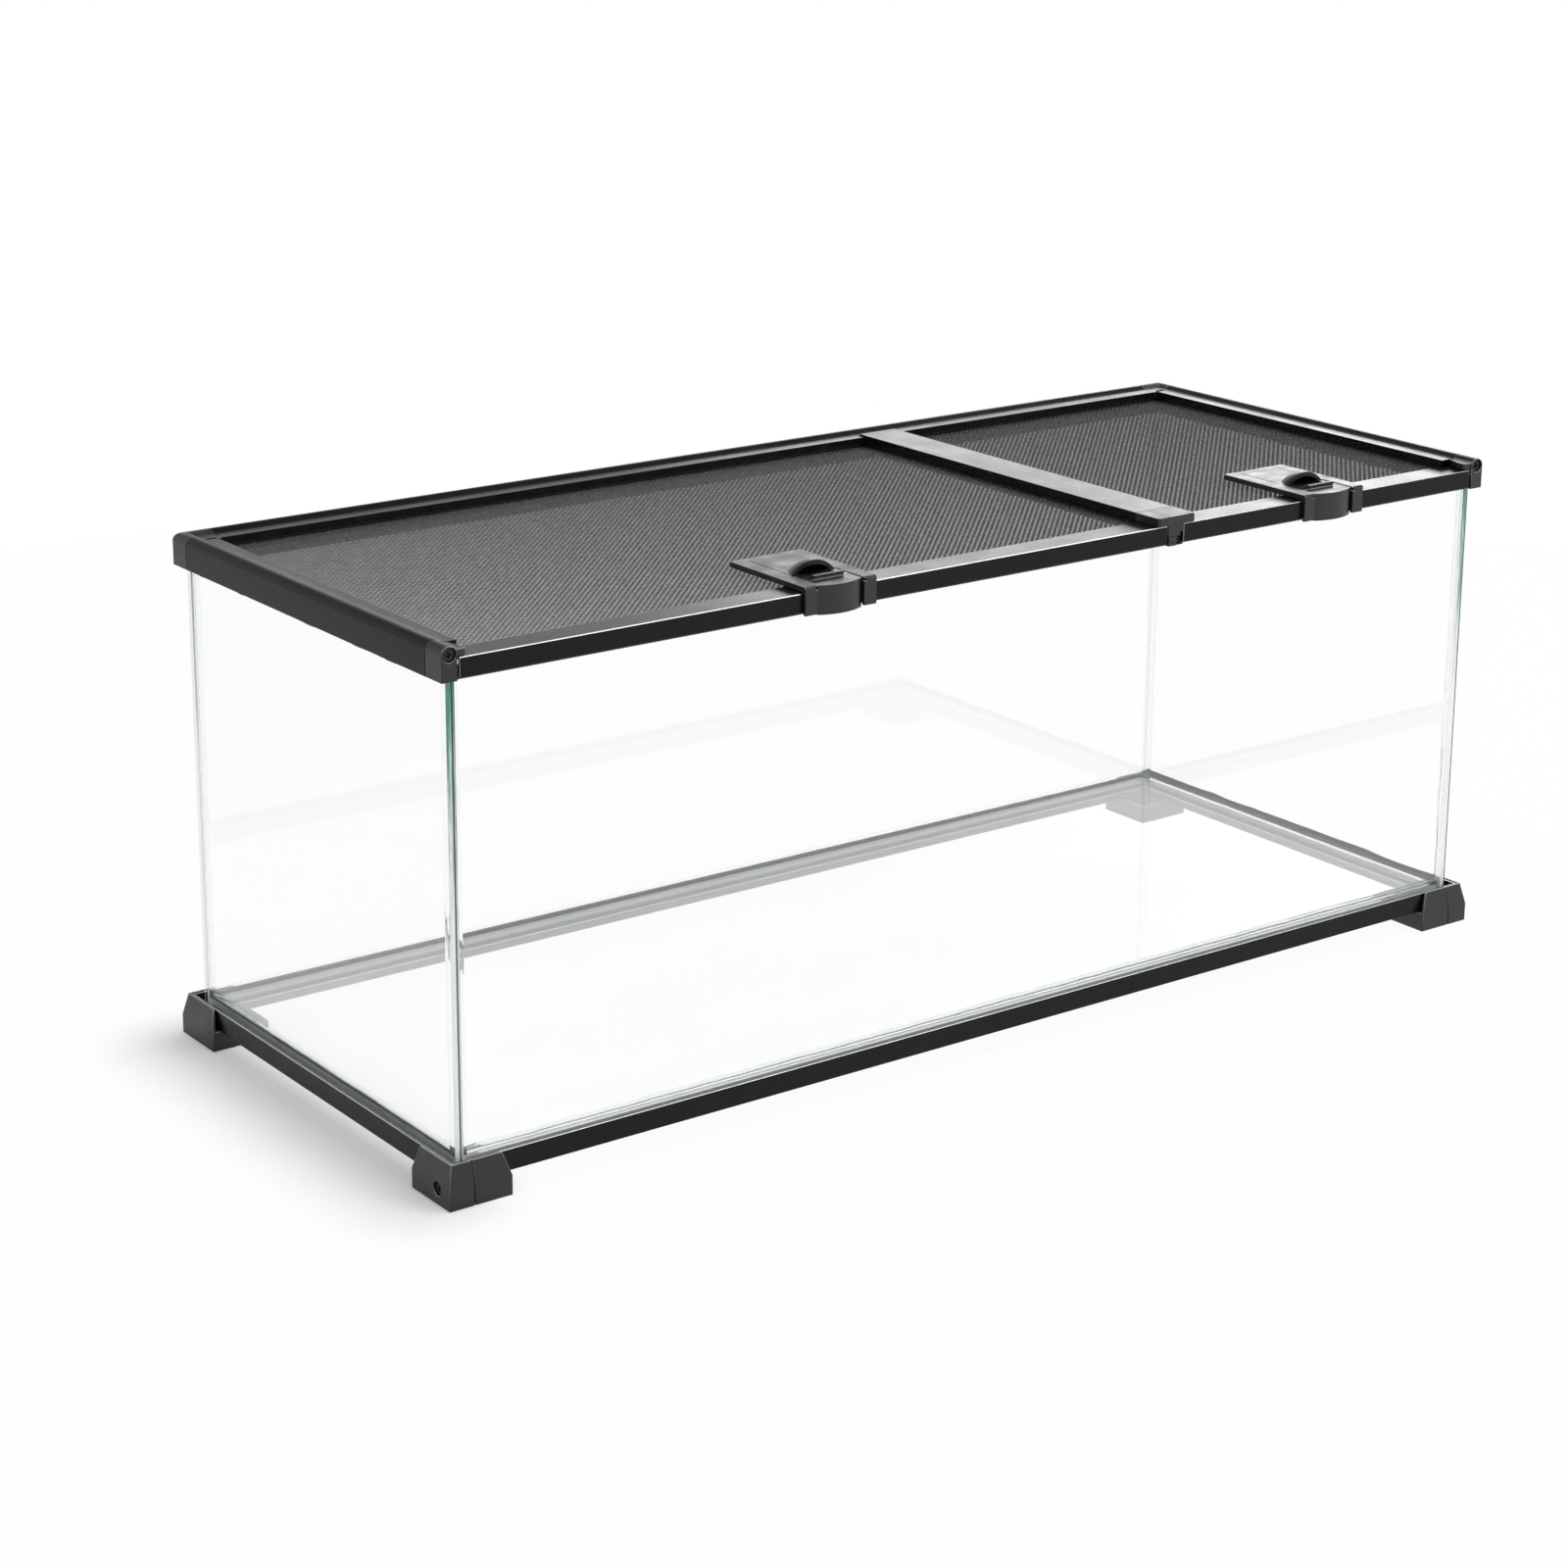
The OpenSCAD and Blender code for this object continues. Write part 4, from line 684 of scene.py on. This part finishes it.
def coated_wire():
    """Epoxy-coated aluminium wire: an even, slightly rough black film."""
    material, tree = new_material("black_epoxy_coated_wire")
    place = add_node(tree, "ShaderNodeTexCoord")
    # the coating lies thicker and thinner, 3 mm across
    film = add_node(tree, "ShaderNodeTexNoise", {
        "Vector": place.outputs["Object"], "Scale": 1 / 0.003, "Detail": 2.0})
    colour = add_node(tree, "ShaderNodeMix", {
        0: film.outputs[0], 6: linear("#262628"), 7: linear("#353537")}, data_type="RGBA")
    rough = add_node(tree, "ShaderNodeMapRange", {
        "Value": film.outputs[0], "From Min": 0.3, "From Max": 0.7, "To Min": 0.22, "To Max": 0.34})
    shader = add_node(tree, "ShaderNodeBsdfPrincipled", {
        "Base Color": colour.outputs[2], "Roughness": rough.outputs[0], "Specular IOR Level": 0.8})
    add_node(tree, "ShaderNodeOutputMaterial", {"Surface": shader.outputs[0]})
    return material


wire_black = coated_wire()
wire_pitch, wire_thick = 0.002, 0.00039


def woven_wires(name, low, high, height, along):
    """The wires that run along one axis: a ring of four points at each crossing, over and under in turn."""
    across = 1 - along
    count = [int((high[k] - low[k]) / wire_pitch) for k in (0, 1)]
    margin = [(high[k] - low[k] - count[k] * wire_pitch) / 2 for k in (0, 1)]
    points, faces = [], []
    half = wire_thick / 2
    ring = ((-half, 0), (0, -half), (half, 0), (0, half))
    around = len(ring)
    crossings = [low[along] + margin[along] + j * wire_pitch for j in range(count[along] + 1)]
    stops = [low[along]] + crossings + [high[along]]
    for i in range(count[across] + 1):
        first = len(points)
        for j, stop in enumerate(stops):
            # over at every second crossing, where the wire of the other direction is under
            crossing = min(max(j - 1, 0), count[along])
            lift = half if (i + crossing + along) % 2 else -half
            for step_across, step_up in ring:
                point = [0, 0, height + lift + step_up]
                point[along] = stop
                point[across] = low[across] + margin[across] + i * wire_pitch + step_across
                points.append(point)
        for j in range(len(stops) - 1):
            for k in range(around):
                a, b = first + around * j + k, first + around * j + (k + 1) % around
                faces.append((a, b, b + around, a + around) if along else (a, a + around, b + around, b))
        last = len(points) - around
        faces.append((first, first + 1, first + 2, first + 3))
        faces.append((last + 3, last + 2, last + 1, last))
    return mesh_piece(name, points, faces, wire_black)


for side_name in ("left", "right"):
    low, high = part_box(side_name + "_lid_screen")
    for thread, along in (("warp", 1), ("weft", 0)):
        cloth = woven_wires(f"{side_name}_screen_{thread}", low, high, (low.z + high.z) / 2, along)
        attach(cloth, side_name + "_lid")
        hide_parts(side_name + "_lid_screen")

# ---- Latches ----
# Black ABS mouldings: a housing over the lid's front edge, a sliding tongue
# with a notched grip, and a cover with a half-dome hood for the fingertip. An
# acetal leaf under the border carries the tooth; two bright screws hold it.


def natural_acetal():
    """Natural acetal: milky white, waxy, with a faint swirl from moulding."""
    material, tree = new_material("natural_acetal")
    place = add_node(tree, "ShaderNodeTexCoord")
    # swirls 5 mm across
    swirl = add_node(tree, "ShaderNodeTexNoise", {
        "Vector": place.outputs["Object"], "Scale": 1 / 0.005, "Detail": 2.0})
    colour = add_node(tree, "ShaderNodeMix", {
        0: swirl.outputs[0], 6: linear("#d4d3cc"), 7: linear("#e2e1db")}, data_type="RGBA")
    shader = add_node(tree, "ShaderNodeBsdfPrincipled", {
        "Base Color": colour.outputs[2], "Roughness": 0.35, "IOR": 1.48, "Subsurface Weight": 0.15,
        "Subsurface Radius": (0.001, 0.001, 0.001)})
    add_node(tree, "ShaderNodeOutputMaterial", {"Surface": shader.outputs[0]})
    return material


acetal = natural_acetal()
zinc_bright = zinc("bright_zinc_plated_steel", "#a9adb1", "#c9ccd0")
for side_name in ("left", "right"):
    dress([f"{side_name}_latch_{part}" for part in ("housing", "tongue")], abs_black, 0.35, 2, abs_edge_highlight)
    dress([f"{side_name}_latch_cover"], abs_black, 0.35, 2, abs_edge_highlight, clamp=True)
    dress([side_name + "_catch_spring"], acetal, 0.1, 1)
    dress([side_name + "_latch_screws"], zinc_bright, 0.2, 1)

low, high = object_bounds()
